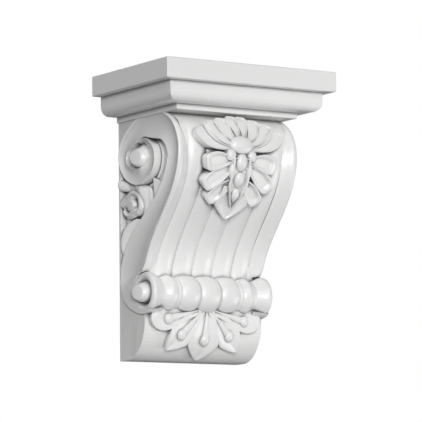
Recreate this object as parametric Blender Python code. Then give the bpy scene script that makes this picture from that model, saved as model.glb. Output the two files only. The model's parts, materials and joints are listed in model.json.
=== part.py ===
"""A scrolled wall corbel, moulded in one piece: a stepped cap over an S-shaped console.

The console's front is reeded and carries a palmette with a row of beads. Bands with a volute at each end
close its sides, a beaded roll lies across its foot, and a second palmette hangs under the roll.

The wall is the plane Y = 0 and the corbel stands out from it towards -Y. X runs to the right, Z up, and
the origin is the middle of the back. Places are given as three lengths: x from the middle plane, reach
out from the wall, and drop below the top.
"""

import math

import bmesh
import bpy

# Overall height, and the width across the two side bands
HEIGHT = 0.2444
SCROLL_WIDTH = 0.1206

# Cap: a square slab over an ovolo and a fillet
SLAB_HEIGHT = 0.0174
OVOLO_HEIGHT = 0.0167
FILLET_HEIGHT = 0.0049
FILLET_REVEAL = 0.0004
FILLET_REACH = 0.0977
OVOLO_OUT = 0.0159
OVOLO_RADIUS = 0.0079
SLAB_OUT = 0.0085
SLAB_EASE = 0.0008

# Front of the scroll: a rounded shoulder, then an ogee down to the roll
CAP_TUCK = 0.003
SCROLL_REACH = 0.0992
SHOULDER_OUT = 0.0377
SHOULDER_RISE = 0.0353
OGEE_END_OUT = 0.0013
OGEE_END_ABOVE = 0.0083
OGEE_UPPER_SHARE = 0.4132  # the curve's handles, as shares of its fall
OGEE_LOWER_SHARE = 0.3756

# Back edge of the side band
BAND_SETBACK = 0.0183
BAND_BEND_RADIUS = 0.0187
BAND_BEND_BELOW_FULL = 0.0071
BAND_START_ABOVE = 0.0028
BAND_END_ABOVE = 0.0096
BAND_UPPER_SHARE = 0.4728  # the curve's handles, as shares of its fall
BAND_LOWER_SHARE = 0.5045
BAND_BACK_GAP = 0.0014
BAND_COVE = 0.0024

# Rim along the front of a band, from its face in to the reeded panel
BAND_RIM = 0.0136
RIM_LAP = 0.001  # how far the rim goes on under the reeds
RIM_FLANK = 0.002
RIM_CREST = 0.0062
RIM_CREST_END = 0.0035
RIM_FOOT_BACK = 0.009
RIM_FLANK_BACK = 0.005
RIM_EDGE = 0.0014

# Core behind the carving, and the plate and block behind it
FIELD_DEPTH = 0.0073
BACK_REVEAL = 0.0013
BACK_THICKNESS = 0.0025
BACKING_SHARE = 0.8  # how far back the neck stands, as a share of the shoulder's depth
CORE_END_BACK = 0.006
CORE_END_BELOW = 0.008

# Reeds down the front, in a panel that sinks between the rims of the two bands
MIDDLE_REED = 0.0202
SECOND_REED = 0.0198
REED_HEIGHT = 0.0031
PANEL_SINK = 0.0027
PANEL_START = -0.045  # lengths down the front from the scroll's fullest point
PANEL_FULL = 0.010
PANEL_SIDE = 0.001
CARVED_FOOT = 0.0088  # how far a petal or a bead goes in under the outline

# Roll across the foot, turned about an axis along X
ROLL_RISE = 0.0559
ROLL_REACH = 0.041
BEAD_RADIUS = 0.0156
GROOVE_RADIUS = 0.0137
NECK_RADIUS = 0.0128
FLARE_RADIUS = 0.0175
MIDDLE_BEAD = 0.0206
SIDE_BEAD = 0.0183
RING_WIDTH = 0.010
NECK_WIDTH = 0.009

# Foot block under the roll
FOOT_SOLE = 0.012
FOOT_CURVE = 0.0344
FOOT_TOP_BELOW_ROLL = 0.0095

# Volutes at the two ends of a band, and the button in each
UPPER_EYE_REACH = 0.0365
UPPER_EYE_BELOW_CAP = 0.031
UPPER_BUTTON_RADIUS = 0.0083
UPPER_BUTTON_OUT = 0.0035
UPPER_BUTTON_BELOW = 0.001
LOWER_BUTTON_RADIUS = 0.0084
LOWER_BUTTON_OUT = 0.0052
LOWER_BUTTON_OFF = 0.0015
CORNER_LAP = 0.003
VOLUTE_SWELL = 0.0022
TAIL_SINK = 0.0075

# Carving laid on the front
PALMETTE_BELOW_CAP = 0.035
PALMETTE_THICKNESS = 0.0046
LOWER_PALMETTE_THICKNESS = 0.0046
BOSS_HEIGHT = 0.0085

# Facets
SHOULDER_STEPS = 8
OGEE_STEPS = 10
WHORL_STEP = 17.0
ROLL_SIDES = 16
DOME_SIDES = 10

CAP_HEIGHT = SLAB_HEIGHT + OVOLO_HEIGHT + FILLET_HEIGHT
FULL_DROP = CAP_HEIGHT - CAP_TUCK + SHOULDER_RISE
ROLL_DROP = HEIGHT - ROLL_RISE
UPPER_EYE_DROP = CAP_HEIGHT + UPPER_EYE_BELOW_CAP
FOOT_REACH = ROLL_REACH  # the block's front is right under the roll's axis
FACE = SCROLL_WIDTH / 2
CORE = FACE - FIELD_DEPTH
BACK = FACE - BACK_REVEAL
RIM = FACE - BAND_RIM
REEDED_WIDTH = 2 * RIM
BURIED = 0.005

# Outline of the upper volute, wound from its tail at the button out to the band: the angle about its eye
# in degrees and the radius, of the outer edge and then of the inner edge. Radii are shares of the eye's
# distance from the wall, because the outer turn just meets the wall.
UPPER_WHORL = (
    (482, 0.2959, 482, 0.2137),
    (450, 0.3342, 450, 0.2192),
    (420, 0.4000, 420, 0.2603),
    (390, 0.5068, 390, 0.2959),
    (374, 0.6082, 374, 0.3068),
    (360, 0.6849, 360, 0.3151),
    (340, 0.7342, 340, 0.3288),
    (315, 0.7397, 315, 0.3425),
    (270, 0.7205, 270, 0.3178),
    (240, 0.7534, 242, 0.3562),
    (215, 0.8493, 220, 0.4575),
    (190, 0.9452, 192, 0.6164),
    (175, 0.9726, 172, 0.5890),
    (157, 0.9452, 150, 0.4247),
    (130, 0.8630, 120, 0.3288),
    (95, 0.8767, 88, 0.3397),
    (70, 0.9863, 45, 0.4877),
)

# Outline of the lower volute, from the band round to its tail, in the same way: the hole's edge, then the
# outer edge
LOWER_WHORL = (
    (93, 0.4390, 159, 1.0146),
    (123, 0.4512, 172, 0.9244),
    (152, 0.4805, 187, 0.8000),
    (179, 0.5000, 206, 0.6488),
    (198, 0.3902, 220, 0.5561),
    (220, 0.2732, 238, 0.4780),
    (255, 0.2195, 265, 0.4293),
    (310, 0.2561, 312, 0.4439),
    (360, 0.3171, 360, 0.4878),
    (405, 0.3293, 405, 0.4634),
    (450, 0.3049, 450, 0.4024),
    (480, 0.2805, 480, 0.3293),
)


def spot(x, reach, drop):
    """The point x right of the middle plane, reach out from the wall and drop below the top."""
    return (x, -reach, HEIGHT / 2 - drop)


def blend(start, end, share):
    return start + (end - start) * share


def smooth(share):
    share = min(max(share, 0.0), 1.0)
    return share * share * (3 - 2 * share)


def bezier(points, share):
    """A point of the Bezier curve on two, three or four control points."""
    while len(points) > 1:
        points = [
            tuple(blend(a, b, share) for a, b in zip(first, second))
            for first, second in zip(points, points[1:])
        ]
    return points[0]


def add_solid(name, points, faces):
    """A closed mesh with its faces turned outwards, smooth where it is round."""
    mesh = bpy.data.meshes.new(name)
    mesh.from_pydata(points, [], faces)
    work = bmesh.new()
    work.from_mesh(mesh)
    bmesh.ops.recalc_face_normals(work, faces=work.faces)
    work.to_mesh(mesh)
    work.free()
    mesh.shade_smooth()
    mesh.set_sharp_from_angle(angle=math.radians(32))
    mesh.materials.append(PLASTER)
    piece = bpy.data.objects.new(name, mesh)
    CARVING.objects.link(piece)
    piece.hide_render = True
    piece.display_type = "WIRE"
    return piece


def loft(name, rings):
    """A solid through rings that hold the same number of points, closed at both ends."""
    count = len(rings[0])
    points = [point for ring in rings for point in ring]
    faces = [tuple(range(count)), tuple(range(len(points) - count, len(points)))]
    for row in range(len(rings) - 1):
        for i in range(count):
            j = (i + 1) % count
            faces.append(
                (row * count + i, row * count + j, (row + 1) * count + j, (row + 1) * count + i)
            )
    return add_solid(name, points, faces)


def loft_pair(name, rings):
    """The same solid on the left and, mirrored, on the right."""
    for side, word in ((-1, "left"), (1, "right")):
        loft(f"{name}_{word}", [[spot(side * x, reach, drop) for x, reach, drop in ring] for ring in rings])


def s_curve(start, end, upper_share, lower_share, share):
    """A curve that leaves start and reaches end upright, with handles given as shares of its fall."""
    fall = end[1] - start[1]
    upper = (start[0], start[1] + upper_share * fall)
    lower = (end[0], end[1] - lower_share * fall)
    return bezier((start, upper, lower, end), share)


def shoulder(turn):
    """Front of the scroll over its shoulder, with turn from -90 degrees at the top to 0."""
    angle = math.radians(turn)
    return (
        SCROLL_REACH - SHOULDER_OUT * (1 - math.cos(angle)),
        FULL_DROP + SHOULDER_RISE * math.sin(angle),
    )


def ogee(share):
    """Front of the scroll from its fullest point down to the roll."""
    start = (SCROLL_REACH, FULL_DROP)
    end = (ROLL_REACH + OGEE_END_OUT, ROLL_DROP - OGEE_END_ABOVE)
    return s_curve(start, end, OGEE_UPPER_SHARE, OGEE_LOWER_SHARE, share)


def band_shoulder(turn):
    """Back edge of the band under its shoulder."""
    angle = math.radians(turn)
    return (
        SCROLL_REACH - BAND_SETBACK - BAND_BEND_RADIUS * (1 - math.cos(angle)),
        FULL_DROP + BAND_BEND_BELOW_FULL + BAND_BEND_RADIUS * math.sin(angle),
    )


def band_ogee(share):
    """Back edge of the band from its shoulder down to the wall."""
    start = (SCROLL_REACH - BAND_SETBACK, FULL_DROP - BAND_START_ABOVE)
    end = (BAND_BACK_GAP, ROLL_DROP - BAND_END_ABOVE)
    return s_curve(start, end, BAND_UPPER_SHARE, BAND_LOWER_SHARE, share)


def measured(outline):
    """An outline with the length along it and the outward normal at each point."""
    rows = []
    length = 0.0
    for i, (reach, drop) in enumerate(outline):
        before = outline[max(i - 1, 0)]
        after = outline[min(i + 1, len(outline) - 1)]
        if i:
            length += math.dist(before, (reach, drop))
        span = math.dist(before, after)
        normal = ((after[1] - before[1]) / span, -(after[0] - before[0]) / span)
        rows.append((length, (reach, drop), normal))
    return rows


def walker(outline, zero_drop):
    """A function that puts x, a length along the outline and a height off it into space.

    The length counts from where the outline passes zero_drop.
    """
    rows = measured(outline)
    after = next(i for i, row in enumerate(rows) if row[1][1] > zero_drop)
    first, second = rows[after - 1], rows[after]
    start = blend(first[0], second[0], (zero_drop - first[1][1]) / (second[1][1] - first[1][1]))

    def place(x, length, height):
        wanted = length + start
        i = 1
        while i < len(rows) - 1 and rows[i][0] < wanted:
            i += 1
        first, second = rows[i - 1], rows[i]
        share = (wanted - first[0]) / (second[0] - first[0])
        reach, drop = (blend(a, b, share) for a, b in zip(first[1], second[1]))
        out, down = (blend(a, b, share) for a, b in zip(first[2], second[2]))
        return spot(x, reach + out * height, drop + down * height)

    return place


def scroll_outline(shoulder_steps, ogee_steps):
    points = [shoulder(-80 + 80 * i / shoulder_steps) for i in range(shoulder_steps)]
    return points + [ogee(i / ogee_steps) for i in range(ogee_steps + 1)]


def foot_outline(steps):
    """Front of the foot block, from behind the roll down and back to its sole."""
    top = HEIGHT - FOOT_CURVE
    points = [(FOOT_REACH, ROLL_DROP), (FOOT_REACH, (ROLL_DROP + top) / 2)]
    for i in range(steps + 1):
        angle = math.pi / 2 * i / steps
        points.append(
            (FOOT_SOLE + (FOOT_REACH - FOOT_SOLE) * math.cos(angle), top + FOOT_CURVE * math.sin(angle))
        )
    return points


def make_cap():
    """The slab, ovolo and fillet, mitred at the two front corners."""
    fillet_out = FILLET_REVEAL
    ovolo_out = fillet_out + OVOLO_OUT
    slab_out = ovolo_out + SLAB_OUT
    ovolo_foot = SLAB_HEIGHT + OVOLO_HEIGHT
    section = [
        (slab_out - SLAB_EASE, 0.0),
        (slab_out, SLAB_EASE),
        (slab_out, SLAB_HEIGHT - SLAB_EASE),
        (slab_out - SLAB_EASE, SLAB_HEIGHT),
        (ovolo_out, SLAB_HEIGHT),
    ]
    for i in range(6):
        angle = math.pi / 2 * i / 5
        section.append(
            (
                ovolo_out - OVOLO_RADIUS * (1 - math.cos(angle)),
                ovolo_foot - OVOLO_RADIUS * (1 - math.sin(angle)),
            )
        )
    section.append((fillet_out, ovolo_foot))
    section.append((fillet_out, CAP_HEIGHT))
    rings = []
    for out, drop in section:
        half = FACE + out
        reach = FILLET_REACH - FILLET_REVEAL + out
        corners = ((-half, 0.0), (-half, reach), (half, reach), (half, 0.0))
        rings.append([spot(x, depth, drop) for x, depth in corners])
    return loft("cap", rings)


def reed_edges():
    first = MIDDLE_REED / 2
    second = first + SECOND_REED
    third = REEDED_WIDTH / 2
    return [-third, -second, -first, first, second, third]


def make_core():
    """The reeded middle of the scroll, between the two bands."""
    outline = scroll_outline(SHOULDER_STEPS, OGEE_STEPS)
    outline.append((ROLL_REACH, ROLL_DROP))
    outline.append((ROLL_REACH - CORE_END_BACK, ROLL_DROP + NECK_RADIUS + CORE_END_BELOW))
    rows = measured(outline)
    zero = rows[SHOULDER_STEPS][0]
    edges = reed_edges()
    rings = []
    for length, (reach, drop), (out, down) in rows:
        sunk = smooth((length - zero - PANEL_START) / (PANEL_FULL - PANEL_START))
        valley = sunk * (PANEL_SINK + REED_HEIGHT)
        front = [(-CORE, valley + PANEL_SIDE)]
        for edge, following in zip(edges, edges[1:]):
            for share in (0.0, 0.15, 0.5, 0.85):
                rise = sunk * REED_HEIGHT * 4 * share * (1 - share)
                front.append((blend(edge, following, share), valley - rise))
        front.append((edges[-1], valley))
        front.append((CORE, valley + PANEL_SIDE))
        ring = [spot(x, reach - out * cut, drop - down * cut) for x, cut in front]
        left, right = (spot(x, BACK_THICKNESS / 2, drop) for x in (-CORE, CORE))
        rings.append([left, *ring, right])
    return loft("core", rings)


def across(name, half_width, side):
    """A block with the outline side, seen from the side, the same on both sides of the middle."""
    return loft(name, [[spot(x, reach, drop) for reach, drop in side] for x in (-half_width, half_width)])


def rectangle(reaches, drops):
    return [(reaches[0], drops[0]), (reaches[1], drops[0]), (reaches[1], drops[1]), (reaches[0], drops[1])]


def make_backing():
    """What stands behind the carving: the neck under the cap, the back plate and the foot block."""
    inside_cap = CAP_HEIGHT - FILLET_HEIGHT / 2
    neck_reach = SCROLL_REACH - BACKING_SHARE * SHOULDER_OUT
    across("neck", CORE, rectangle((BACK_THICKNESS / 2, neck_reach), (inside_cap, FULL_DROP)))
    corner = [(BACK_THICKNESS / 3, inside_cap), (BACK_THICKNESS / 3, UPPER_EYE_DROP)]
    for turn, share, _, _ in UPPER_WHORL[-5:-1]:
        angle = math.radians(turn)
        distance = UPPER_EYE_REACH * share - CORNER_LAP
        corner.append(
            (UPPER_EYE_REACH + distance * math.cos(angle), UPPER_EYE_DROP - distance * math.sin(angle))
        )
    corner.append((corner[-1][0], inside_cap))
    across("corner", BACK, corner)
    across("back_plate", BACK, rectangle((0.0, BACK_THICKNESS), (inside_cap, HEIGHT - FOOT_SOLE / 3)))
    foot_top = ROLL_DROP + FOOT_TOP_BELOW_ROLL
    hook_seat = [(0.0, -0.003), (0.009, 0.0), (0.016, 0.005)]
    side = [(reach, ROLL_DROP + below) for reach, below in hook_seat]
    side += [(0.024, foot_top), (FOOT_REACH, foot_top)] + foot_outline(10)[2:] + [(0.0, HEIGHT)]
    across("foot", BACK, side)


def whorl(rows, centre):
    """Pairs of edge points round a volute, evenly stepped between the rows of its outline.

    centre is the eye's reach, by which the outline's radii are scaled, and its drop.
    """
    pairs = []
    for first, second in zip(rows, rows[1:]):
        steps = max(1, round(abs(second[0] - first[0]) / WHORL_STEP))
        for step in range(steps):
            pairs.append([blend(a, b, step / steps) for a, b in zip(first, second)])
    pairs.append(list(rows[-1]))
    found = []
    for turn_a, share_a, turn_b, share_b in pairs:
        pair = []
        for turn, share in ((turn_a, share_a), (turn_b, share_b)):
            angle = math.radians(turn)
            radius = centre[0] * share
            reach = centre[0] + radius * math.cos(angle)
            pair.append((max(reach, BACK_THICKNESS / 4), centre[1] - radius * math.sin(angle)))
        found.append(pair)
    return found


def make_bands():
    """The side bands: an upper volute, the S and the hook under the roll, as one ribbon on each side."""
    upper = whorl(UPPER_WHORL, (UPPER_EYE_REACH, UPPER_EYE_DROP))
    lower = whorl(LOWER_WHORL, (ROLL_REACH, ROLL_DROP))
    turns = [-90 + 90 * i / SHOULDER_STEPS for i in range(SHOULDER_STEPS)]
    middle = [(shoulder(turn), band_shoulder(turn)) for turn in turns]
    for i in range(OGEE_STEPS + 1):
        share = i / OGEE_STEPS
        middle.append((ogee(0.85 * share), band_ogee(blend(0.06, 0.9, share))))
    rings = []
    for number, (first, second) in enumerate(upper + middle + lower):
        past_upper = number - len(upper) + 1
        past_middle = number - len(upper) - len(middle)
        swell = VOLUTE_SWELL * (1 - smooth((past_upper + 8) / 8)) - TAIL_SINK * (1 - smooth(number / 6))
        face = FACE - 0.0002 + swell + 0.0006 * smooth(past_middle / 4)
        on_front = smooth((past_upper + 1) / 3) * (1 - smooth(past_middle / 2))
        flare = max(0.0, past_middle - 4) / 10
        lean = 0.0065 * (1 - smooth(number / 7))
        width = math.dist(first, second)
        toward = [(b - a) / width for a, b in zip(first, second)]
        section = (
            (RIM - RIM_LAP, RIM_FOOT_BACK * on_front - lean),
            (RIM + RIM_FLANK, RIM_FLANK_BACK * on_front - lean),
            (FACE - RIM_CREST, RIM_EDGE * on_front),
            (FACE - RIM_CREST_END, 0.0),
            (face, RIM_EDGE),
            (face - BAND_COVE, width / 2),
            (face, width - 0.0004),
            (face - 0.0008, width),
            (RIM - RIM_LAP, width * (1 - 0.5 * min(flare, 1.0))),
        )
        rings.append(
            [(x, first[0] + toward[0] * along, first[1] + toward[1] * along) for x, along in section]
        )
    join = len(upper) // 2
    inside = [sum(values) / len(values) for values in zip(*rings[join - 1])]
    start = [tuple(blend(a, b, 0.3) for a, b in zip(point, inside)) for point in rings[join - 1]]
    loft_pair("volute", rings[:join + 1])
    loft_pair("band", [start] + rings[join:])


def make_roll():
    """The turned roll: a bead in the middle, one on each side, a ring, a neck and a flared end."""
    def lobe(start, width, low, high, steps):
        for i in range(steps):
            share = i / steps
            yield start + width * share, blend(low, high, math.sqrt(max(0.0, 4 * share * (1 - share))))

    middle = MIDDLE_BEAD / 2
    side = middle + SIDE_BEAD
    ring = side + RING_WIDTH
    neck = ring + NECK_WIDTH
    end = FACE - 0.0025
    half = list(lobe(middle, SIDE_BEAD, GROOVE_RADIUS, BEAD_RADIUS + 0.0004, 5))
    half += list(lobe(side, RING_WIDTH, GROOVE_RADIUS, BEAD_RADIUS - 0.0004, 4))
    half += [(ring, GROOVE_RADIUS), (ring + NECK_WIDTH / 2, NECK_RADIUS), (neck, NECK_RADIUS + 0.0012)]
    half += [((neck + end) / 2, blend(NECK_RADIUS, FLARE_RADIUS, 0.62)), (end, FLARE_RADIUS)]
    half += [(end, FLARE_RADIUS - 0.0022), (end - 0.0035, FLARE_RADIUS - 0.006)]
    centre = list(lobe(-middle, MIDDLE_BEAD, GROOVE_RADIUS, BEAD_RADIUS, 6))
    profile = [(-x, radius) for x, radius in reversed(half)] + centre[1:] + half
    rings = []
    for x, radius in profile:
        ring_points = []
        for i in range(ROLL_SIDES):
            angle = 2 * math.pi * i / ROLL_SIDES
            reach, drop = ROLL_REACH + radius * math.cos(angle), ROLL_DROP + radius * math.sin(angle)
            ring_points.append(spot(x, reach, drop))
        rings.append(ring_points)
    return loft("roll", rings)


def make_buttons():
    """The domed button in the eye of each volute."""
    upper = (UPPER_EYE_REACH, UPPER_EYE_DROP + UPPER_BUTTON_BELOW)
    lower = (ROLL_REACH - LOWER_BUTTON_OFF, ROLL_DROP - LOWER_BUTTON_OFF)
    doming = ((0.0055, 1.0), (0.0028, 0.92), (0.0008, 0.68), (0.0, 0.34))
    for name, centre, radius, out in (
        ("upper_button", upper, UPPER_BUTTON_RADIUS, UPPER_BUTTON_OUT),
        ("lower_button", lower, LOWER_BUTTON_RADIUS, LOWER_BUTTON_OUT),
    ):
        base, top = CORE - BURIED, FACE + out
        rings = []
        for x, share in [(base, 1.0)] + [(top - below, share) for below, share in doming]:
            ring = []
            for i in range(DOME_SIDES):
                angle = 2 * math.pi * i / DOME_SIDES
                side, down = radius * share * math.cos(angle), radius * share * math.sin(angle)
                ring.append((x, centre[0] + side, centre[1] + down))
            rings.append(ring)
        loft_pair(name, rings)


def make_side_leaves():
    """The curled leaf and the bud under the upper volute, and the long leaf in the wedge below them."""
    top = UPPER_EYE_DROP
    curl_outer = [(0.002, top + 0.017), (0.014, top + 0.022), (0.030, top + 0.024), (0.046, top + 0.024),
                  (0.057, top + 0.034), (0.053, top + 0.043), (0.043, top + 0.051)]
    curl_inner = [(0.002, top + 0.028), (0.012, top + 0.0305), (0.023, top + 0.029), (0.033, top + 0.033),
                  (0.0375, top + 0.038), (0.0385, top + 0.044), (0.037, top + 0.050)]
    rings = []
    for i in range(13):
        share = i / 12
        outer, inner = bezier(curl_outer, share), bezier(curl_inner, share)
        ring = [(CORE - BURIED, *outer), (CORE + 0.002, *outer)]
        for along, rise in ((0.3, 0.0052), (0.7, 0.0058), (0.92, 0.0046)):
            ring.append((CORE + rise, blend(outer[0], inner[0], along), blend(outer[1], inner[1], along)))
        ring.append((CORE - BURIED, *inner))
        rings.append(ring)
    loft_pair("curled_leaf", rings)

    left = [(0.021, top + 0.0535), (0.007, top + 0.058), (0.0008, top + 0.065), (0.0008, top + 0.078),
            (0.0035, top + 0.084)]
    right = [(0.034, top + 0.0555), (0.025, top + 0.062), (0.017, top + 0.071), (0.010, top + 0.080),
             (0.006, top + 0.087)]
    rings = []
    for i in range(9):
        share = i / 8
        a, b = bezier(left, share), bezier(right, share)
        swell = 0.0066 * math.sqrt(math.sin(math.pi * (0.08 + 0.84 * share)))
        ring = [(CORE - BURIED, *a)]
        for along, rise in ((0.04, 0.55), (0.25, 0.9), (0.5, 1.0), (0.8, 0.75)):
            ring.append((CORE + swell * rise, blend(a[0], b[0], along), blend(a[1], b[1], along)))
        ring.append((CORE - BURIED, *b))
        rings.append(ring)
    loft_pair("long_leaf", rings)

    centre = (0.0205, top + 0.0415)
    rings = []
    steps = ((1.0, -BURIED), (1.0, 0.0022), (0.88, 0.0038), (0.74, 0.0046), (0.66, 0.0030), (0.60, 0.0046),
             (0.48, 0.0058), (0.30, 0.0062), (0.22, 0.0040), (0.08, 0.0036))
    for share, rise in steps:
        ring = []
        for i in range(10):
            angle = 2 * math.pi * i / 10
            ripple = 1 + 0.06 * math.cos(5 * angle + 0.8)
            curl = 0.0012 * math.cos(angle - 0.6) * share
            ring.append((
                CORE + rise + curl,
                centre[0] + 0.0165 * share * ripple * math.cos(angle),
                centre[1] - 0.0113 * share * ripple * math.sin(angle),
            ))
        rings.append(ring)
    loft_pair("bud", rings)


def petal(name, place, line, half_width, heights, pointed=False, steps=5):
    """A cupped petal or leaf with a raised rim, along a bent line on the surface that place gives.

    heights are the rim's height above the surface at the petal's root and at its tip.
    """
    section = ((-1.0, None), (-1.0, 0.62), (-0.74, 1.0), (0.0, 0.80), (0.74, 1.0), (1.0, 0.62), (1.0, None))
    rings = []
    for i in range(steps + 1):
        share = math.sin(math.pi / 2 * i / steps)
        x, length = bezier(line, share)
        ahead = bezier(line, min(share + 0.02, 1.0))
        behind = bezier(line, max(share - 0.02, 0.0))
        span = math.dist(ahead, behind)
        side = ((ahead[1] - behind[1]) / span, -(ahead[0] - behind[0]) / span)
        opening = 0.52 + 0.48 * smooth(share / 0.6)
        closing = max(0.0, (share - 0.62) / 0.38)
        closing = (1 - closing) ** 0.75 if pointed else math.sqrt(max(0.0, 1 - closing ** 2))
        half = half_width * opening * max(closing, 0.10)
        height = blend(heights[0], heights[1], share)
        ring = []
        for across, rise in section:
            lift = -CARVED_FOOT if rise is None else height * rise
            ring.append(place(x + side[0] * half * across, length + side[1] * half * across, lift))
        rings.append(ring)
    return loft(name, rings)


def both(line, side):
    return [(side * x, length) for x, length in line]


def dome(name, place, centre, half_width, half_length, height, pointed=0.0, sides=DOME_SIDES):
    """A bead: an oval dome on the surface, drawn out to a point at its lower end if pointed is above 0."""
    rings = []
    for share, rise in ((1.0, None), (1.0, 0.35), (0.86, 0.72), (0.6, 0.92), (0.25, 1.0)):
        ring = []
        for i in range(sides):
            angle = 2 * math.pi * (i + 0.5) / sides
            narrow = 1 - pointed * max(0.0, math.sin(angle)) ** 2
            x = centre[0] + half_width * share * math.cos(angle) * narrow
            length = centre[1] + half_length * share * math.sin(angle)
            ring.append(place(x, length, -CARVED_FOOT if rise is None else height * rise))
        rings.append(ring)
    return loft(name, rings)


def make_palmette():
    """The palmette on the shoulder: a fan of eight petals, three pairs below and a tongue, round a boss."""
    place = walker(scroll_outline(24, 40), CAP_HEIGHT + PALMETTE_BELOW_CAP)
    thick = PALMETTE_THICKNESS
    fan = (
        (((0.0035, -0.011), (0.005, -0.022), (0.0056, -0.0318)), 0.0068, 0.0068),
        (((0.0075, -0.009), (0.0165, -0.017), (0.0172, -0.0284)), 0.0074, 0.0062),
        (((0.0095, -0.006), (0.0275, -0.010), (0.0296, -0.0252)), 0.0076, 0.0060),
        (((0.0110, -0.003), (0.0360, -0.003), (0.0415, -0.0200)), 0.0076, 0.0046),
    )
    lower = (
        (((0.009, 0.002), (0.024, 0.004), (0.0338, 0.0072)), 0.0074),
        (((0.007, 0.008), (0.022, 0.016), (0.0325, 0.0280)), 0.0078),
        (((0.005, 0.019), (0.016, 0.028), (0.0247, 0.0418)), 0.0072),
    )
    for side, word in ((-1, "left"), (1, "right")):
        for number, (line, half, tip) in enumerate(fan):
            petal(f"fan_{word}_{number}", place, both(line, side), half, (thick * 1.2, tip))
        for number, (line, half) in enumerate(lower):
            petal(f"leaf_{word}_{number}", place, both(line, side), half, (thick * 1.15, thick))
    tongue = ((0.0, 0.026), (0.0, 0.045), (0.0, 0.058))
    petal("tongue", place, tongue, 0.0165, (thick * 0.9, thick * 0.8), True)
    sheath = ((0.0, 0.0), (0.0, 0.026), (0.0, 0.0455))
    petal("sheath", place, sheath, 0.0092, (thick * 1.35, thick * 1.2), True)
    dome("boss", place, (0.0, -0.007), 0.0112, 0.0070, BOSS_HEIGHT, sides=14)
    beads = ((0.0060, 0.0056, 0.0068, 0.1), (0.0193, 0.0050, 0.0066, 0.2), (0.0330, 0.0040, 0.0066, 0.7))
    for number, (length, half, half_length, pointed) in enumerate(beads):
        height = BOSS_HEIGHT * (0.96 - 0.06 * number)
        dome(f"bead_{number}", place, (0.0, length), half, half_length, height, pointed)


def make_lower_palmette():
    """The palmette under the roll: a leaf in the middle, a pointed one and a round lobe on each side."""
    place = walker(foot_outline(24), ROLL_DROP)
    thick = LOWER_PALMETTE_THICKNESS

    def stem(name, root, end, half):
        line = (root, tuple(blend(a, b, 0.5) for a, b in zip(root, end)), end)
        petal(name, place, line, half, (thick * 1.25, thick * 1.35), steps=3)
        dome(name + "_drop", place, end, half * 1.75, half * 1.8, thick * 1.6, 0.0, 8)

    middle = ((0.0, 0.008), (0.0, 0.040), (0.0, 0.0582))
    petal("middle_leaf", place, middle, 0.0168, (thick, thick * 0.55), True)
    stem("middle_stem", (0.0, 0.012), (0.0, 0.0378), 0.0028)
    for side, word in ((-1, "left"), (1, "right")):
        pointed = both(((0.004, 0.010), (0.023, 0.033), (0.0365, 0.0482)), side)
        petal(f"pointed_leaf_{word}", place, pointed, 0.0138, (thick, thick * 0.95), True)
        lobe = both(((0.006, 0.012), (0.036, 0.0185), (0.0548, 0.0240)), side)
        petal(f"lobe_{word}", place, lobe, 0.0130, (thick, thick * 0.9))
        stem(f"pointed_stem_{word}", (side * 0.004, 0.014), (side * 0.0240, 0.0345), 0.0027)
        stem(f"lobe_stem_{word}", (side * 0.006, 0.013), (side * 0.0380, 0.0222), 0.0026)


for old in list(bpy.data.objects):
    bpy.data.objects.remove(old, do_unlink=True)

PLASTER = bpy.data.materials.new("satin_white")
PLASTER.use_nodes = True
paint = PLASTER.node_tree.nodes["Principled BSDF"]
paint.inputs["Base Color"].default_value = (0.86, 0.86, 0.86, 1.0)
paint.inputs["Roughness"].default_value = 0.42
paint.inputs["Metallic"].default_value = 0.0

CARVING = bpy.data.collections.new("carving")
bpy.context.scene.collection.children.link(CARVING)

corbel = make_cap()
make_core()
make_backing()
make_bands()
make_roll()
make_buttons()
make_side_leaves()
make_palmette()
make_lower_palmette()

CARVING.objects.unlink(corbel)
bpy.context.scene.collection.objects.link(corbel)
corbel.name = "corbel"
corbel.hide_render = False
corbel.display_type = "TEXTURED"
joined = corbel.modifiers.new("one_casting", "BOOLEAN")
joined.operation = "UNION"
joined.operand_type = "COLLECTION"
joined.collection = CARVING
joined.solver = "MANIFOLD"
facets = corbel.modifiers.new("facets", "TRIANGULATE")
facets.ngon_method = "BEAUTY"
facets.quad_method = "BEAUTY"
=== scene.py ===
import json
import math

import bmesh
import bpy
from bpy.props import FloatProperty, FloatVectorProperty, IntProperty, PointerProperty
from mathutils import Matrix, Vector

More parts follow.
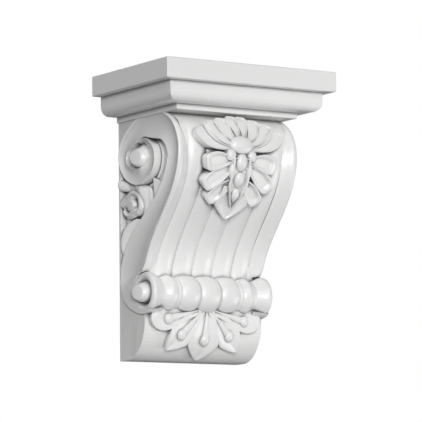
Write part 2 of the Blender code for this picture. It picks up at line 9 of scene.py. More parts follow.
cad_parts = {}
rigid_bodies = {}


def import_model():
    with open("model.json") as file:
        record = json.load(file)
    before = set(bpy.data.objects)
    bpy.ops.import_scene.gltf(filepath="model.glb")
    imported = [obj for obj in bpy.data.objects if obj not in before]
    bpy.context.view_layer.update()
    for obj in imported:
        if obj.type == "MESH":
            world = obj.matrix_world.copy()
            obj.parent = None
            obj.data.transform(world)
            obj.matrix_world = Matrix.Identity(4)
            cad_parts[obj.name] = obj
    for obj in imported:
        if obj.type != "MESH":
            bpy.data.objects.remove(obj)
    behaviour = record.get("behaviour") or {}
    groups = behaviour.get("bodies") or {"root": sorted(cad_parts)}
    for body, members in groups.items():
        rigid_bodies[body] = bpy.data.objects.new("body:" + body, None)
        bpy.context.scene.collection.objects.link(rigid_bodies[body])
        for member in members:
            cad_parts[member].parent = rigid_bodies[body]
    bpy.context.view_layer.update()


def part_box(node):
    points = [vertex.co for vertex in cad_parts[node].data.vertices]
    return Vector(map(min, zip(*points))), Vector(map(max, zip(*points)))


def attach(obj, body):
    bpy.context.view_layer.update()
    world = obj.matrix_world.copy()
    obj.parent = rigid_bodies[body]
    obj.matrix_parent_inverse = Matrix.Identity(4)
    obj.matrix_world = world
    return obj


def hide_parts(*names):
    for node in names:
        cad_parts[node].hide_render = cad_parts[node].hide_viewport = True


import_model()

bl_info = {
    "name": "Scrolled Wall Corbel",
    "version": (1, 0, 0),
    "blender": (4, 5, 0),
    "location": "3D View > Sidebar > Corbel",
    "description": "Carves a scrolled wall corbel, casts it in satin white and sets it in a plain studio",
    "category": "Object",
}

NODE = "corbel"
SIDES = ((-1, "left"), (1, "right"))
MILLIMETRE = 0.001

# How deep the buttons and leaves stand in the sides, and the petals in the front
BURIED = 0.005
CARVED_FOOT = 0.0095


def length(name, description, default):
    return FloatProperty(name=name, description=description, default=default, unit="LENGTH", precision=5)


def plain(name, description, default):
    return FloatProperty(name=name, description=description, default=default, precision=4)


def colour(name, description, default):
    return FloatVectorProperty(
        name=name, description=description, default=default, subtype="COLOR", size=3, min=0.0, max=1.0
    )


class CapSizes(bpy.types.PropertyGroup):
    slab_height: length("Slab height", "Height of the square slab on top", 0.0174)
    slab_out: length("Slab overhang", "How far the slab stands out over the ovolo", 0.0085)
    slab_easing: length("Slab easing", "Radius of the slab's softened edges", 0.0010)
    ovolo_height: length("Ovolo height", "Height of the rounded moulding under the slab", 0.0167)
    ovolo_out: length("Ovolo overhang", "How far the ovolo stands out over the fillet", 0.0159)
    ovolo_radius: length("Ovolo radius", "Radius of the ovolo's rounded lower edge", 0.0079)
    fillet_height: length("Fillet height", "Height of the thin square band under the ovolo", 0.0049)
    fillet_reach: length("Fillet reach", "Distance from the wall to the fillet's front", 0.0977)
    fillet_reveal: length("Fillet reveal", "How far the fillet stands out over the side bands", 0.0004)


class ScrollSizes(bpy.types.PropertyGroup):
    width: length("Width", "Width of the scroll across its two side bands", 0.1206)
    reach: length("Reach", "Distance from the wall to the fullest point of the front", 0.0992)
    cap_tuck: length("Tuck under the cap", "How far the shoulder starts above the cap's underside", 0.003)
    shoulder_out: length("Shoulder depth", "How far the shoulder curls back", 0.0377)
    shoulder_rise: length("Shoulder rise", "Height of the rounded shoulder", 0.0353)
    upper_pull: length("Upper pull", "Length of the S curve's upper handle", 0.045)
    lower_pull: length("Lower pull", "Length of the S curve's lower handle", 0.0409)
    end_out: length("End out", "How far the S ends in front of the roll's axis", 0.0013)
    end_above: length("End above", "How far it ends above that axis", 0.0083)
    core_width: length("Core width", "Width between the two sunk side fields", 0.106)
    reeded_width: length("Reeded width", "Width of the five reeds together", 0.0934)
    middle_reed: length("Middle reed", "Width of the middle reed", 0.0202)
    second_reed: length("Second reed", "Width of the reeds beside the middle one", 0.0198)
    reed_height: length("Reed height", "Height of a reed over the valleys beside it", 0.0033)
    panel_sink: length("Panel sink", "How far the reeds' crests lie below the rims", 0.0026)
    panel_start: length("Panel start", "Where the reeded panel begins to sink, along the front", -0.045)
    panel_full: length("Panel full", "Where it lies at its full depth", 0.010)


class BandSizes(bpy.types.PropertyGroup):
    setback: length("Setback", "Width of the band at the fullest point", 0.0183)
    bend_radius: length("Bend radius", "Radius of the band's back edge in the shoulder", 0.0187)
    bend_below: length("Bend below", "How far that bend's centre lies below the fullest point", 0.0071)
    upper_pull: length("Upper pull", "Upper handle of the band's back edge", 0.0522)
    lower_pull: length("Lower pull", "Lower handle of the band's back edge", 0.0557)
    start_above: length("Start above", "How far the back edge's S starts above the fullest point", 0.0028)
    end_above: length("End above", "How far it ends above the roll's axis", 0.0096)
    back_gap: length("Back gap", "Thickness left behind the band at the wall", 0.0014)
    cove: length("Cove", "Depth of the hollow along the band's side", 0.0024)
    set_in: length("Set in", "How far the band's face lies inside the scroll's width", 0.0002)
    hook_out: length("Hook out", "How far the hook under the roll stands out over the band", 0.0006)
    lap: length("Lap", "How far the band reaches in under the reeded front", 0.0010)
    lap_back: length("Lap back", "How far that lap lies behind the front", 0.0095)
    rim_round: length("Rim rounding", "Rounding from the rim to the band's face", 0.0026)
    edge_round: length("Edge rounding", "Rounding of the other edges of the face", 0.0006)
    back_round: length("Back rounding", "Rounding of the face's back edge, measured across", 0.0008)


class RollSizes(bpy.types.PropertyGroup):
    rise: length("Rise", "Height of the roll's axis above the sole", 0.0559)
    reach: length("Reach", "Distance from the wall to the roll's axis", 0.041)
    bead_radius: length("Bead radius", "Radius of the beads", 0.0160)
    groove_radius: length("Groove radius", "Radius at the grooves between the beads", 0.0126)
    neck_radius: length("Neck radius", "Radius at the narrowest point of the neck", 0.0126)
    flare_radius: length("Flare radius", "Radius of the flared ends", 0.0184)
    middle_bead: length("Middle bead", "Width of the middle bead", 0.0206)
    side_bead: length("Side bead", "Width of the beads beside it", 0.0195)
    fillet: length("Fillet", "Width of the thin fillets beyond them", 0.0026)
    ring: length("Ring", "Width of the rings down to the narrowest point of the necks", 0.0147)
    lip: length("Lip", "Radius of the flared ends' rounded lips", 0.0042)
    dish_depth: length("Dish depth", "Depth of the dished ends", 0.0056)
    dish_floor: length("Dish floor", "Radius of the dished ends' flat floor", 0.0088)
    proud: length("Proud", "How far each end stands out over the side bands", 0.0003)


class FootSizes(bpy.types.PropertyGroup):
    width: length("Width", "Width of the foot block and the back plate", 0.118)
    reach: length("Reach", "Distance from the wall to the block's front", 0.041)
    sole: length("Sole", "Depth of the flat sole", 0.012)
    curve: length("Curve", "Height of the curve from the front to the sole", 0.0344)
    plate: length("Plate", "Thickness of the plate against the wall", 0.0025)


class VoluteSizes(bpy.types.PropertyGroup):
    eye_reach: length("Eye reach", "Distance from the wall to the upper volute's eye", 0.0365)
    eye_below: length("Eye below the cap", "Drop from the cap's underside to that eye", 0.031)
    swell: length("Swell", "How far the outer turn stands out over the band", 0.0022)
    tail: length("Tail", "How much lower the face begins at the tail", 0.0030)
    lean: length("Lean", "How far the inner turn spreads outwards at its foot", 0.0110)
    funnel: length("Funnel", "How far the inner turn's face slopes in towards the button", 0.0062)
    upper_button: length("Upper button", "Radius of the upper button", 0.0086)
    upper_out: length("Upper button out", "How far it stands out from the band", 0.0042)
    upper_foot: plain("Upper button foot", "Radius of its foot, as a share of the button's", 1.25)
    upper_below: length("Upper button below", "How far its middle lies below the eye", 0.002)
    lower_button: length("Lower button", "Radius of the lower button", 0.0084)
    lower_out: length("Lower button out", "How far it stands out from the band", 0.0050)
    lower_foot: plain("Lower button foot", "Radius of its foot, as a share of the button's", 1.18)
    lower_back: length("Lower button back", "How far its middle lies behind the roll's axis", 0.0020)
    lower_above: length("Lower button above", "How far its middle lies above that axis", 0.0010)


class PalmetteSizes(bpy.types.PropertyGroup):
    below_cap: length("Below the cap", "Drop from the cap's underside to the root line", 0.035)
    thickness: length("Thickness", "Height of the petals above the front", 0.0046)
    boss: length("Boss", "Height of the oval boss above the front", 0.0085)
    lower_thickness: length("Lower thickness", "Height of the lower leaves above the block", 0.0052)


class FinishSettings(bpy.types.PropertyGroup):
    paint: colour("Paint", "Colour of the satin white", (0.90, 0.90, 0.895))
    # Painted shade: a darker colour laid into the grooves, where the skin's pointiness is low, standing in
    # for the shade there
    groove_shade: colour("Painted groove shade", "Colour of the paint in the grooves", (0.74, 0.735, 0.725))
    groove_shade_full: plain("Full groove shade", "Pointiness of the skin where the settled paint is full", 0.40)
    groove_shade_none: plain("No groove shade", "Pointiness of the skin where the settled paint ends", 0.50)
    # Painted shade: the colour darkens towards this in the tight recesses that the ambient occlusion finds
    shade: colour("Shade", "Colour in the tightest recesses", (0.15, 0.15, 0.155))
    shade_reach: length("Shade reach", "How near its walls stand where a recess is shaded", 0.0052)
    shade_full: plain("Full shade", "How open a recess is where its shade is full", 0.30)
    shade_none: plain("No shade", "How open a recess is where its shade ends", 0.82)
    # Less painted shade close under the cap
    clean: plain("Unshaded share", "Share of the shade that is left out close under the cap", 0.8)
    unshaded_from: length("Unshaded from", "How far under the cap the shade begins to fade", 0.0087)
    unshaded_full: length("Unshaded full", "How far under the cap it has faded", 0.0042)
    roughness: plain("Roughness", "Roughness of the satin paint", 0.31)
    mottle: plain("Mottle", "How much the roughness varies over the skin", 0.12)
    grain: length("Grain", "Size of the paint's fine grain", 0.0011)
    unevenness: length("Unevenness", "Size of the cast skin's slow unevenness", 0.012)
    relief: length("Relief", "Height of the grain and the unevenness together", 0.0002)
    relief_share: plain("Relief share", "Share of that height which shows", 0.12)
    rounding: length("Rounding", "Radius to which the paint rounds the edges", 0.0005)
    sharp: plain("Sharp from", "Angle in degrees from which an edge stays sharp", 34.0)


class StudioSettings(bpy.types.PropertyGroup):
    azimuth: plain("Azimuth", "Camera's direction round the corbel, in degrees", -32.70)
    elevation: plain("Elevation", "Camera's height above the horizon, in degrees", -6.636)
    roll: plain("Roll", "Camera's tilt about its own axis, in degrees", -0.6156)
    lens: plain("Lens", "Focal length in millimetres on a 36 mm sensor", 254.93)
    distance: length("Distance", "Distance from the camera to the corbel", 2.55)
    aim_right: length("Aim right", "Shift of the aim to the camera's right", -0.00362)
    aim_up: length("Aim up", "Shift of the aim upwards", 0.00415)
    floor_drop: length("Floor drop", "Height of the corbel's middle above the floor", 2.1)
    floor_half: length("Floor half", "Half the side of the square floor", 6.0)
    floor_colour: colour("Floor colour", "Colour of the floor", (0.66, 0.66, 0.66))
    main: plain("Main light", "Strength of the soft light from the camera's side", 2.05)
    left: plain("Left light", "Strength of the light from the upper left", 0.38)
    top: plain("Top light", "Strength of the high light from the front", 0.36)
    back: plain("Back light", "Strength of the light from behind, which the camera's side doesn't see", 1.1)
    low: plain("Low light", "Power in watts of the low soft light from the right", 6.5)
    low_size: length("Low light size", "Side of that light's square", 0.7)
    low_distance: length("Low light distance", "Distance from that light to the corbel's middle", 1.6)
    sky: plain("Sky", "Strength of the light from all round", 0.035)


class CorbelSettings(bpy.types.PropertyGroup):
    cap: PointerProperty(type=CapSizes)
    scroll: PointerProperty(type=ScrollSizes)
    band: PointerProperty(type=BandSizes)
    roll: PointerProperty(type=RollSizes)
    foot: PointerProperty(type=FootSizes)
    volute: PointerProperty(type=VoluteSizes)
    palmette: PointerProperty(type=PalmetteSizes)
    finish: PointerProperty(type=FinishSettings)
    studio: PointerProperty(type=StudioSettings)


# Outline of the upper volute, wound from its tail at the button out to the band: the angle about its eye
# in degrees and the radius in millimetres, of the outer edge and then of the inner edge
UPPER_WHORL = (
    (470, 11.6, 470, 6.0),
    (450, 12.4, 450, 6.0),
    (420, 15.0, 420, 6.0),
    (390, 19.0, 390, 6.0),
    (374, 22.2, 374, 6.2),
    (360, 25.0, 360, 6.5),
    (340, 26.8, 340, 7.0),
    (315, 27.0, 315, 8.5),
    (270, 26.3, 270, 11.6),
    (240, 27.5, 242, 13.0),
    (215, 31.0, 220, 16.7),
    (190, 34.5, 192, 22.5),
    (175, 35.5, 172, 21.5),
    (157, 34.5, 150, 15.5),
    (130, 31.5, 120, 12.0),
    (95, 32.0, 88, 12.4),
    (70, 36.0, 45, 17.8),
)

# Outline of the lower volute, from the band round to its tail: the hole's edge, then the outer edge
LOWER_WHORL = (
    (93, 18.0, 159, 41.6),
    (123, 16.5, 172, 37.9),
    (152, 14.5, 187, 32.8),
    (179, 13.5, 206, 26.6),
    (198, 13.0, 220, 22.8),
    (220, 13.0, 238, 20.2),
    (255, 13.5, 265, 18.6),
    (300, 15.0, 305, 18.0),
)

# Section of the band's rim beside the reeds: the share of the way out to the band's face, and how far it lies
# behind the front in millimetres
RIM = (
    (0.0, 6.6), (0.10, 5.7), (0.21, 4.9), (0.32, 3.9), (0.43, 2.7), (0.54, 1.5),
    (0.63, 0.65), (0.71, 0.2), (0.79, 0.0), (0.87, 0.15), (0.93, 0.6), (0.98, 1.5),
)

# Section of the sloping ground round the inner turn: height over the sunk side, and distance from the turn
SKIRT = ((-0.003, 0.0010), (0.0011, 0.0010), (0.0014, 0.0014), (0.0003, 0.0034), (-0.003, 0.0040))

# The suns: the setting with the strength, the direction in degrees round from the front and above the
# horizon, and the spread in degrees
SUNS = (("main", -27, 5, 20), ("left", -80, 42, 26), ("top", -8, 34, 16), ("back", 170, 12, 30))
# Direction of the low soft light
LOW_LIGHT = (60, -20)


def mix(start, end, share):
    return start + (end - start) * share


def limit(share):
    return min(max(share, 0.0), 1.0)


def smooth(share):
    share = limit(share)
    return share * share * (3 - 2 * share)


def bezier(points, share):
    """A point of the Bezier curve on any number of control points."""
    while len(points) > 1:
        pairs = zip(points, points[1:])
        points = [tuple(mix(a, b, share) for a, b in zip(*pair)) for pair in pairs]
    return points[0]


def through(rows, row, share):
    """A point on the smooth curve through rows, between one row and the next."""
    a, b, c, d = (rows[min(max(row + step, 0), len(rows) - 1)] for step in (-1, 0, 1, 2))
    return [
        q + 0.5 * share * (r - p + share * (2 * p - 5 * q + 4 * r - s + share * (3 * (q - r) + s - p)))
        for p, q, r, s in zip(a, b, c, d)
    ]


def at_place(rows, place):
    """The value at a place between rows of place and value."""
    for (start, first), (end, second) in zip(rows, rows[1:]):
        if place <= end:
            return mix(first, second, limit((place - start) / (end - start)))
    return rows[-1][1]


class Lines:
    """The corbel's ruling lines, worked out from the sizes in the panel.

    A place is x right of the middle plane, reach out from the wall and drop below the top.
    """

    def __init__(self, context):
        sizes = context.scene.corbel
        self.sizes = sizes
        self.low, self.high = (Vector(corner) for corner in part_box(NODE))
        self.height = self.high.z - self.low.z
        cap, scroll = sizes.cap, sizes.scroll
        self.cap_height = cap.slab_height + cap.ovolo_height + cap.fillet_height
        self.full_drop = self.cap_height - scroll.cap_tuck + scroll.shoulder_rise
        self.roll_drop = self.height - sizes.roll.rise
        self.face = scroll.width / 2
        self.core = scroll.core_width / 2
        self.eye = (sizes.volute.eye_reach, self.cap_height + sizes.volute.eye_below)

    def spot(self, x, reach, drop):
        return (x, -reach, self.high.z - drop)

    def shoulder(self, turn):
        """Front of the scroll over its shoulder, with turn from -90 degrees at the top to 0."""
        scroll = self.sizes.scroll
        angle = math.radians(turn)
        return (
            scroll.reach - scroll.shoulder_out * (1 - math.cos(angle)),
            self.full_drop + scroll.shoulder_rise * math.sin(angle),
        )

    def ogee(self, share):
        """Front of the scroll from its fullest point down to the roll."""
        scroll, roll = self.sizes.scroll, self.sizes.roll
        reach, drop = roll.reach + scroll.end_out, self.roll_drop - scroll.end_above
        upper = (scroll.reach, self.full_drop + scroll.upper_pull)
        lower = (reach, drop - scroll.lower_pull)
        return bezier(((scroll.reach, self.full_drop), upper, lower, (reach, drop)), share)

    def band_shoulder(self, turn):
        """Back edge of the band under its shoulder."""
        scroll, band = self.sizes.scroll, self.sizes.band
        angle = math.radians(turn)
        return (
            scroll.reach - band.setback - band.bend_radius * (1 - math.cos(angle)),
            self.full_drop + band.bend_below + band.bend_radius * math.sin(angle),
        )

    def band_ogee(self, share):
        """Back edge of the band from its shoulder down to the wall."""
        band = self.sizes.band
        reach, drop = self.sizes.scroll.reach - band.setback, self.full_drop - band.start_above
        end = (band.back_gap, self.roll_drop - band.end_above)
        upper, lower = (reach, drop + band.upper_pull), (end[0], end[1] - band.lower_pull)
        return bezier(((reach, drop), upper, lower, end), share)

    def front(self, first_turn=-86, shoulder_steps=60, ogee_steps=160):
        """The whole S of the scroll's front, from under the cap to an end that is buried in the roll."""
        points = [self.shoulder(mix(first_turn, 0, i / shoulder_steps)) for i in range(shoulder_steps)]
        points += [self.ogee(i / ogee_steps) for i in range(ogee_steps + 1)]
        roll = self.sizes.roll
        buried_end = (roll.reach - 0.006, self.roll_drop + 0.021)
        return points + [(roll.reach, self.roll_drop), buried_end]

    def foot(self, upright_steps=12, curve_steps=48):
        """Front of the foot block, from behind the roll down and back to its sole."""
        foot = self.sizes.foot
        top = self.height - foot.curve
        points = [(foot.reach, mix(self.roll_drop, top, i / upright_steps)) for i in range(upright_steps)]
        for i in range(curve_steps + 1):
            angle = math.pi / 2 * i / curve_steps
            reach = foot.sole + (foot.reach - foot.sole) * math.cos(angle)
            points.append((reach, top + foot.curve * math.sin(angle)))
        return points

    def path(self, name, outline, zero_drop):
        """A curve along an outline in the middle plane, and the length along it down to a given drop."""
        curve = bpy.data.curves.new(name, "CURVE")
        curve.dimensions = "3D"
        spline = curve.splines.new("POLY")
        spline.points.add(len(outline) - 1)
        for point, (reach, drop) in zip(spline.points, outline):
            point.co = (*self.spot(0.0, reach, drop), 1.0)
        start = 0.0
        for first, second in zip(outline, outline[1:]):
            if second[1] >= zero_drop:
                start += math.dist(first, second) * (zero_drop - first[1]) / (second[1] - first[1])
                break
            start += math.dist(first, second)
        path = bpy.data.objects.new(name, curve)
        workshop().objects.link(path)
        return path, start


def workshop():
    """The collection that holds the separate forms until they are cast as one."""
    found = bpy.data.collections.get("workshop")
    if found is None:
        found = bpy.data.collections.new("workshop")
        bpy.context.scene.collection.children.link(found)
    return found


def close_and_turn_out(mesh):
    """Joins a mesh's seams, turns its faces outwards and makes sure that it is closed."""
    work = bmesh.new()
    work.from_mesh(mesh)
    bmesh.ops.remove_doubles(work, verts=work.verts, dist=1e-7)
    bmesh.ops.dissolve_degenerate(work, edges=work.edges, dist=1e-7)
    bmesh.ops.recalc_face_normals(work, faces=work.faces)
    if any(len(edge.link_faces) != 2 for edge in work.edges):
        raise RuntimeError(f"{mesh.name} isn't closed")
    work.to_mesh(mesh)
    work.free()


def add_form(name, points, faces):
    """A closed form, put with the others in the workshop."""
    mesh = bpy.data.meshes.new(name)
    mesh.from_pydata(points, [], faces)
    close_and_turn_out(mesh)
    form = bpy.data.objects.new(name, mesh)
    workshop().objects.link(form)
    return form


def loft(name, rings):
    """A form through rings that hold the same number of points, closed at both ends."""
    around = len(rings[0])
    points = [point for ring in rings for point in ring]
    faces = [tuple(range(around)), tuple(range(len(points) - around, len(points)))]
    for row in range(len(rings) - 1):
        for i in range(around):
            j = (i + 1) % around
            start, following = row * around, (row + 1) * around
            faces.append((start + i, start + j, following + j, following + i))
    return add_form(name, points, faces)


def loft_pair(lines, name, rings):
    """The same form on the left and, mirrored, on the right."""
    for side, word in SIDES:
        mirrored = [[lines.spot(side * x, reach, drop) for x, reach, drop in ring] for ring in rings]
        loft(f"{name}_{word}", mirrored)


def loft_across(lines, name, outline, half):
    """A form with one outline all the way from left to right."""
    loft(name, [[lines.spot(x, reach, drop) for reach, drop in outline] for x in (-half, half)])


class Sum:
    """A number in a node tree. Each sum written with it adds a Math node."""

    def __init__(self, socket):
        self.socket = socket

    def work(self, operation, *others):
        tree = self.socket.id_data
        node = tree.nodes.new("ShaderNodeMath")
        node.operation = operation
        for place, value in zip(node.inputs, (self, *others)):
            feed(place, value)
        return Sum(node.outputs[0])

    def __add__(self, other):
        return self.work("ADD", other)

    def __sub__(self, other):
        return self.work("SUBTRACT", other)

    def __mul__(self, other):
        return self.work("MULTIPLY", other)

    def __truediv__(self, other):
        return self.work("DIVIDE", other)

    def __pow__(self, other):
        return self.work("POWER", other)

    __radd__ = __add__
    __rmul__ = __mul__

    def __rsub__(self, other):
        return self * -1.0 + other

    def __rtruediv__(self, other):
        return self ** -1.0 * other

    def held(self, low=0.0, high=1.0):
        return self.work("MAXIMUM", low).work("MINIMUM", high)

    def eased(self):
        share = self.held()
        return share * share * (3.0 - share * 2.0)


def feed(place, value):
    """Links a value to an input, or sets the input to it if it is plain."""
    if isinstance(value, Sum):
        value = value.socket
    if isinstance(value, bpy.types.NodeSocket):
        place.id_data.links.new(value, place)
    elif value is not None:
        place.default_value = value


def add_node(tree, kind, inputs=(), **settings):
    """A new node with its settings, and then its inputs by name or number."""
    node = tree.nodes.new(kind)
    for name, value in settings.items():
        setattr(node, name, value)
    for place, value in dict(inputs).items():
        feed(node.inputs[place], value)
    return node


def new_tree(name, vectors, numbers, counts, on_path=False):
    """A Geometry Nodes tree, and its inputs by name; each number and count has its default."""
    tree = bpy.data.node_groups.new(name, "GeometryNodeTree")
    tree.interface.new_socket("Geometry", in_out="OUTPUT", socket_type="NodeSocketGeometry")
    sockets = [("Path", "Object", None), ("Path Start", "Float", 0.0)] if on_path else []
    sockets += [(label, "Vector", None) for label in vectors]
    sockets += [(label, "Float", default) for label, default in numbers.items()]
    sockets += [(label, "Int", default) for label, default in counts.items()]
    for label, kind, default in sockets:
        socket = tree.interface.new_socket(label, in_out="INPUT", socket_type="NodeSocket" + kind)
        if default is not None:
            socket.default_value = default
    return tree, {output.name: Sum(output) for output in tree.nodes.new("NodeGroupInput").outputs}


def end_tree(tree, mesh, position):
    """Moves the mesh's points and ends the tree in plain geometry in the casting's own material."""
    moved = add_node(tree, "GeometryNodeSetPosition", {"Geometry": mesh, "Position": position})
    real = add_node(tree, "GeometryNodeRealizeInstances", {0: moved.outputs[0]})
    painted = add_node(tree, "GeometryNodeSetMaterial", {0: real.outputs[0], "Material": satin_white()})
    out = tree.nodes.new("NodeGroupOutput")
    feed(out.inputs[0], painted.outputs[0])
    return tree


def parts_of(tree, vector):
    node = add_node(tree, "ShaderNodeSeparateXYZ", {0: vector})
    return [Sum(output) for output in node.outputs]


def vector_work(tree, operation, first, second):
    return add_node(tree, "ShaderNodeVectorMath", {0: first, 1: second}, operation=operation).outputs[0]


def laid_on(tree, source, x, along, height):
    """The point x across, along the path and height off it, as a vector."""
    path = add_node(tree, "GeometryNodeObjectInfo", {"Object": source["Path"]}).outputs["Geometry"]
    place = {"Curves": path, "Length": along + source["Path Start"]}
    sample = add_node(tree, "GeometryNodeSampleCurve", place, mode="LENGTH").outputs
    outward = vector_work(tree, "CROSS_PRODUCT", sample["Tangent"], (1.0, 0.0, 0.0))
    lifted = add_node(tree, "ShaderNodeVectorMath", {0: outward, "Scale": height}, operation="SCALE")
    across = add_node(tree, "ShaderNodeCombineXYZ", {"X": x})
    raised = vector_work(tree, "ADD", sample["Position"], lifted.outputs[0])
    return vector_work(tree, "ADD", raised, across.outputs[0])


def drum(tree, source):
    """A closed drum of points, with its turn round the axis from -pi to pi and its level from 0 to 1."""
    body = add_node(
        tree, "GeometryNodeMeshCylinder",
        {"Vertices": source["Around"], "Side Segments": source["Levels"], "Radius": 1.0, "Depth": 1.0},
    )
    x, y, z = parts_of(tree, add_node(tree, "GeometryNodeInputPosition").outputs[0])
    return body.outputs["Mesh"], y.work("ARCTAN2", x), z + 0.5


# Share of a petal's levels that makes its upright edge
UPRIGHT = 1.5 / 16


def leaf_tree():
    """A petal or leaf laid along a bent line on a surface: a raised rim round a shallow cup."""
    tree, source = new_tree("laid_leaf", ("Root", "Middle", "Tip"), {
        "Half Width": 0.005, "Root Width": 0.5, "Fullest": 0.62, "Pointed": 0.0, "Blunt": 2.0, "Edge": 0.6,
        "Rim": 0.25, "Cup": 0.25, "Slope": 0.7, "Cup From": 0.15, "Cup To": 0.80,
    }, {"Around": 72, "Levels": 16}, on_path=True)
    mesh, turn, level = drum(tree, source)
    raised = ((level - UPRIGHT) / (1.0 - UPRIGHT)).held()
    short_of_spine = 0.95
    inset = raised ** 1.5 * short_of_spine
    share = (1.0 - turn.work("COSINE")) * 0.5
    opening = mix(source["Root Width"], 1.0, (share / source["Fullest"]).eased())
    past = ((share - source["Fullest"]) / (1.0 - source["Fullest"])).held()
    rounded = (1.0 - past ** source["Blunt"]).work("MAXIMUM", 0.0) ** (1.0 / source["Blunt"])
    pointed = (1.0 - past) ** 0.8
    half = opening * mix(rounded, pointed, source["Pointed"]) * source["Half Width"]
    spine = mix(source["Cup From"], source["Cup To"], share)
    station = mix(share, spine, inset)
    side = turn.work("SINE").work("SIGN")
    across = half * side * (1.0 - inset)

    ends = [parts_of(tree, source[name]) for name in ("Root", "Middle", "Tip")]
    place = [
        mix(mix(root, middle, station), mix(middle, tip, station), station)
        for root, middle, tip in zip(*ends)
    ]
    heading = [mix(middle - root, tip - middle, station) for root, middle, tip in zip(*ends)]
    span = (heading[0] * heading[0] + heading[1] * heading[1]) ** 0.5
    x = place[0] + heading[1] / span * across
    along = place[1] - heading[0] / span * across

    rise = (inset / source["Rim"]).held()
    round_top = (1.0 - (1.0 - rise) * (1.0 - rise)).work("MAXIMUM", 0.0) ** 0.5
    dip = ((inset - source["Rim"]) / source["Slope"]).eased()
    top = mix(source["Edge"], 1.0, round_top) - dip * source["Cup"]
    height = mix(-CARVED_FOOT, place[2] * top, (level / UPRIGHT).held())
    return end_tree(tree, mesh, laid_on(tree, source, x, along, height))


def bead_tree():
    """An oval bead on a surface, drawn out to a point at its lower end where Pointed is above 0."""
    tree, source = new_tree("laid_bead", ("Centre",), {
        "Half Width": 0.005, "Half Length": 0.006, "Pointed": 0.0, "Edge": 0.3,
    }, {"Around": 64, "Levels": 16}, on_path=True)
    mesh, turn, level = drum(tree, source)
    short_of_top = 0.96
    quarter = ((level - UPRIGHT) / (1.0 - UPRIGHT)).held() * (math.pi / 2 * short_of_top)
    share = quarter.work("COSINE")
    x, along, high = parts_of(tree, source["Centre"])
    downward = turn.work("SINE").work("MAXIMUM", 0.0)
    narrow = 1.0 - downward * downward * source["Pointed"]
    x = x + turn.work("COSINE") * share * narrow * source["Half Width"]
    along = along + turn.work("SINE") * share * source["Half Length"]
    top = mix(source["Edge"], 1.0, quarter.work("SINE")) * high
    height = mix(-CARVED_FOOT, top, (level / UPRIGHT).held())
    return end_tree(tree, mesh, laid_on(tree, source, x, along, height))


def hump(inside, width):
    """Height of one ridge from 0 at its two edges to 1 in its middle, and 0 outside it."""
    share = (inside / width).held()
    return share * (1.0 - share) * 4.0


def reed_tree():
    """The scroll's reeded front: a slab bent along the path, with a round ridge for each reed."""
    tree, source = new_tree("reeded_front", (), {
        "Width": 0.106, "Start": -0.04, "End": 0.13, "Thickness": 0.012, "Middle Reed": 0.020,
        "Second Reed": 0.020, "Reeded Width": 0.093, "Reed Height": 0.003, "Panel Sink": 0.003,
        "Panel Start": -0.045, "Panel Full": 0.010,
    }, {"Across": 161, "Along": 110}, on_path=True)
    slab = add_node(tree, "GeometryNodeMeshCube", {
        "Size": (1.0, 1.0, 1.0),
        "Vertices X": source["Across"],
        "Vertices Y": source["Along"],
        "Vertices Z": 2,
    })
    u, v, w = parts_of(tree, add_node(tree, "GeometryNodeInputPosition").outputs[0])
    x = u * source["Width"]
    along = mix(source["Start"], source["End"], v + 0.5)
    aside = x.work("ABSOLUTE")
    first = source["Middle Reed"] * 0.5
    second = first + source["Second Reed"]
    third = source["Reeded Width"] * 0.5
    ridges = hump(x + first, source["Middle Reed"])
    ridges = ridges + hump(aside - first, source["Second Reed"]) + hump(aside - second, third - second)
    crests = ridges ** 0.85 * source["Reed Height"]
    fade = source["Panel Full"] - source["Panel Start"]
    sunk = ((along - source["Panel Start"]) / fade).eased()
    front = (crests - source["Reed Height"] - source["Panel Sink"]) * sunk
    height = mix(source["Thickness"] * -1.0, front, w + 0.5)
    return end_tree(tree, slab.outputs["Mesh"], laid_on(tree, source, x, along, height))


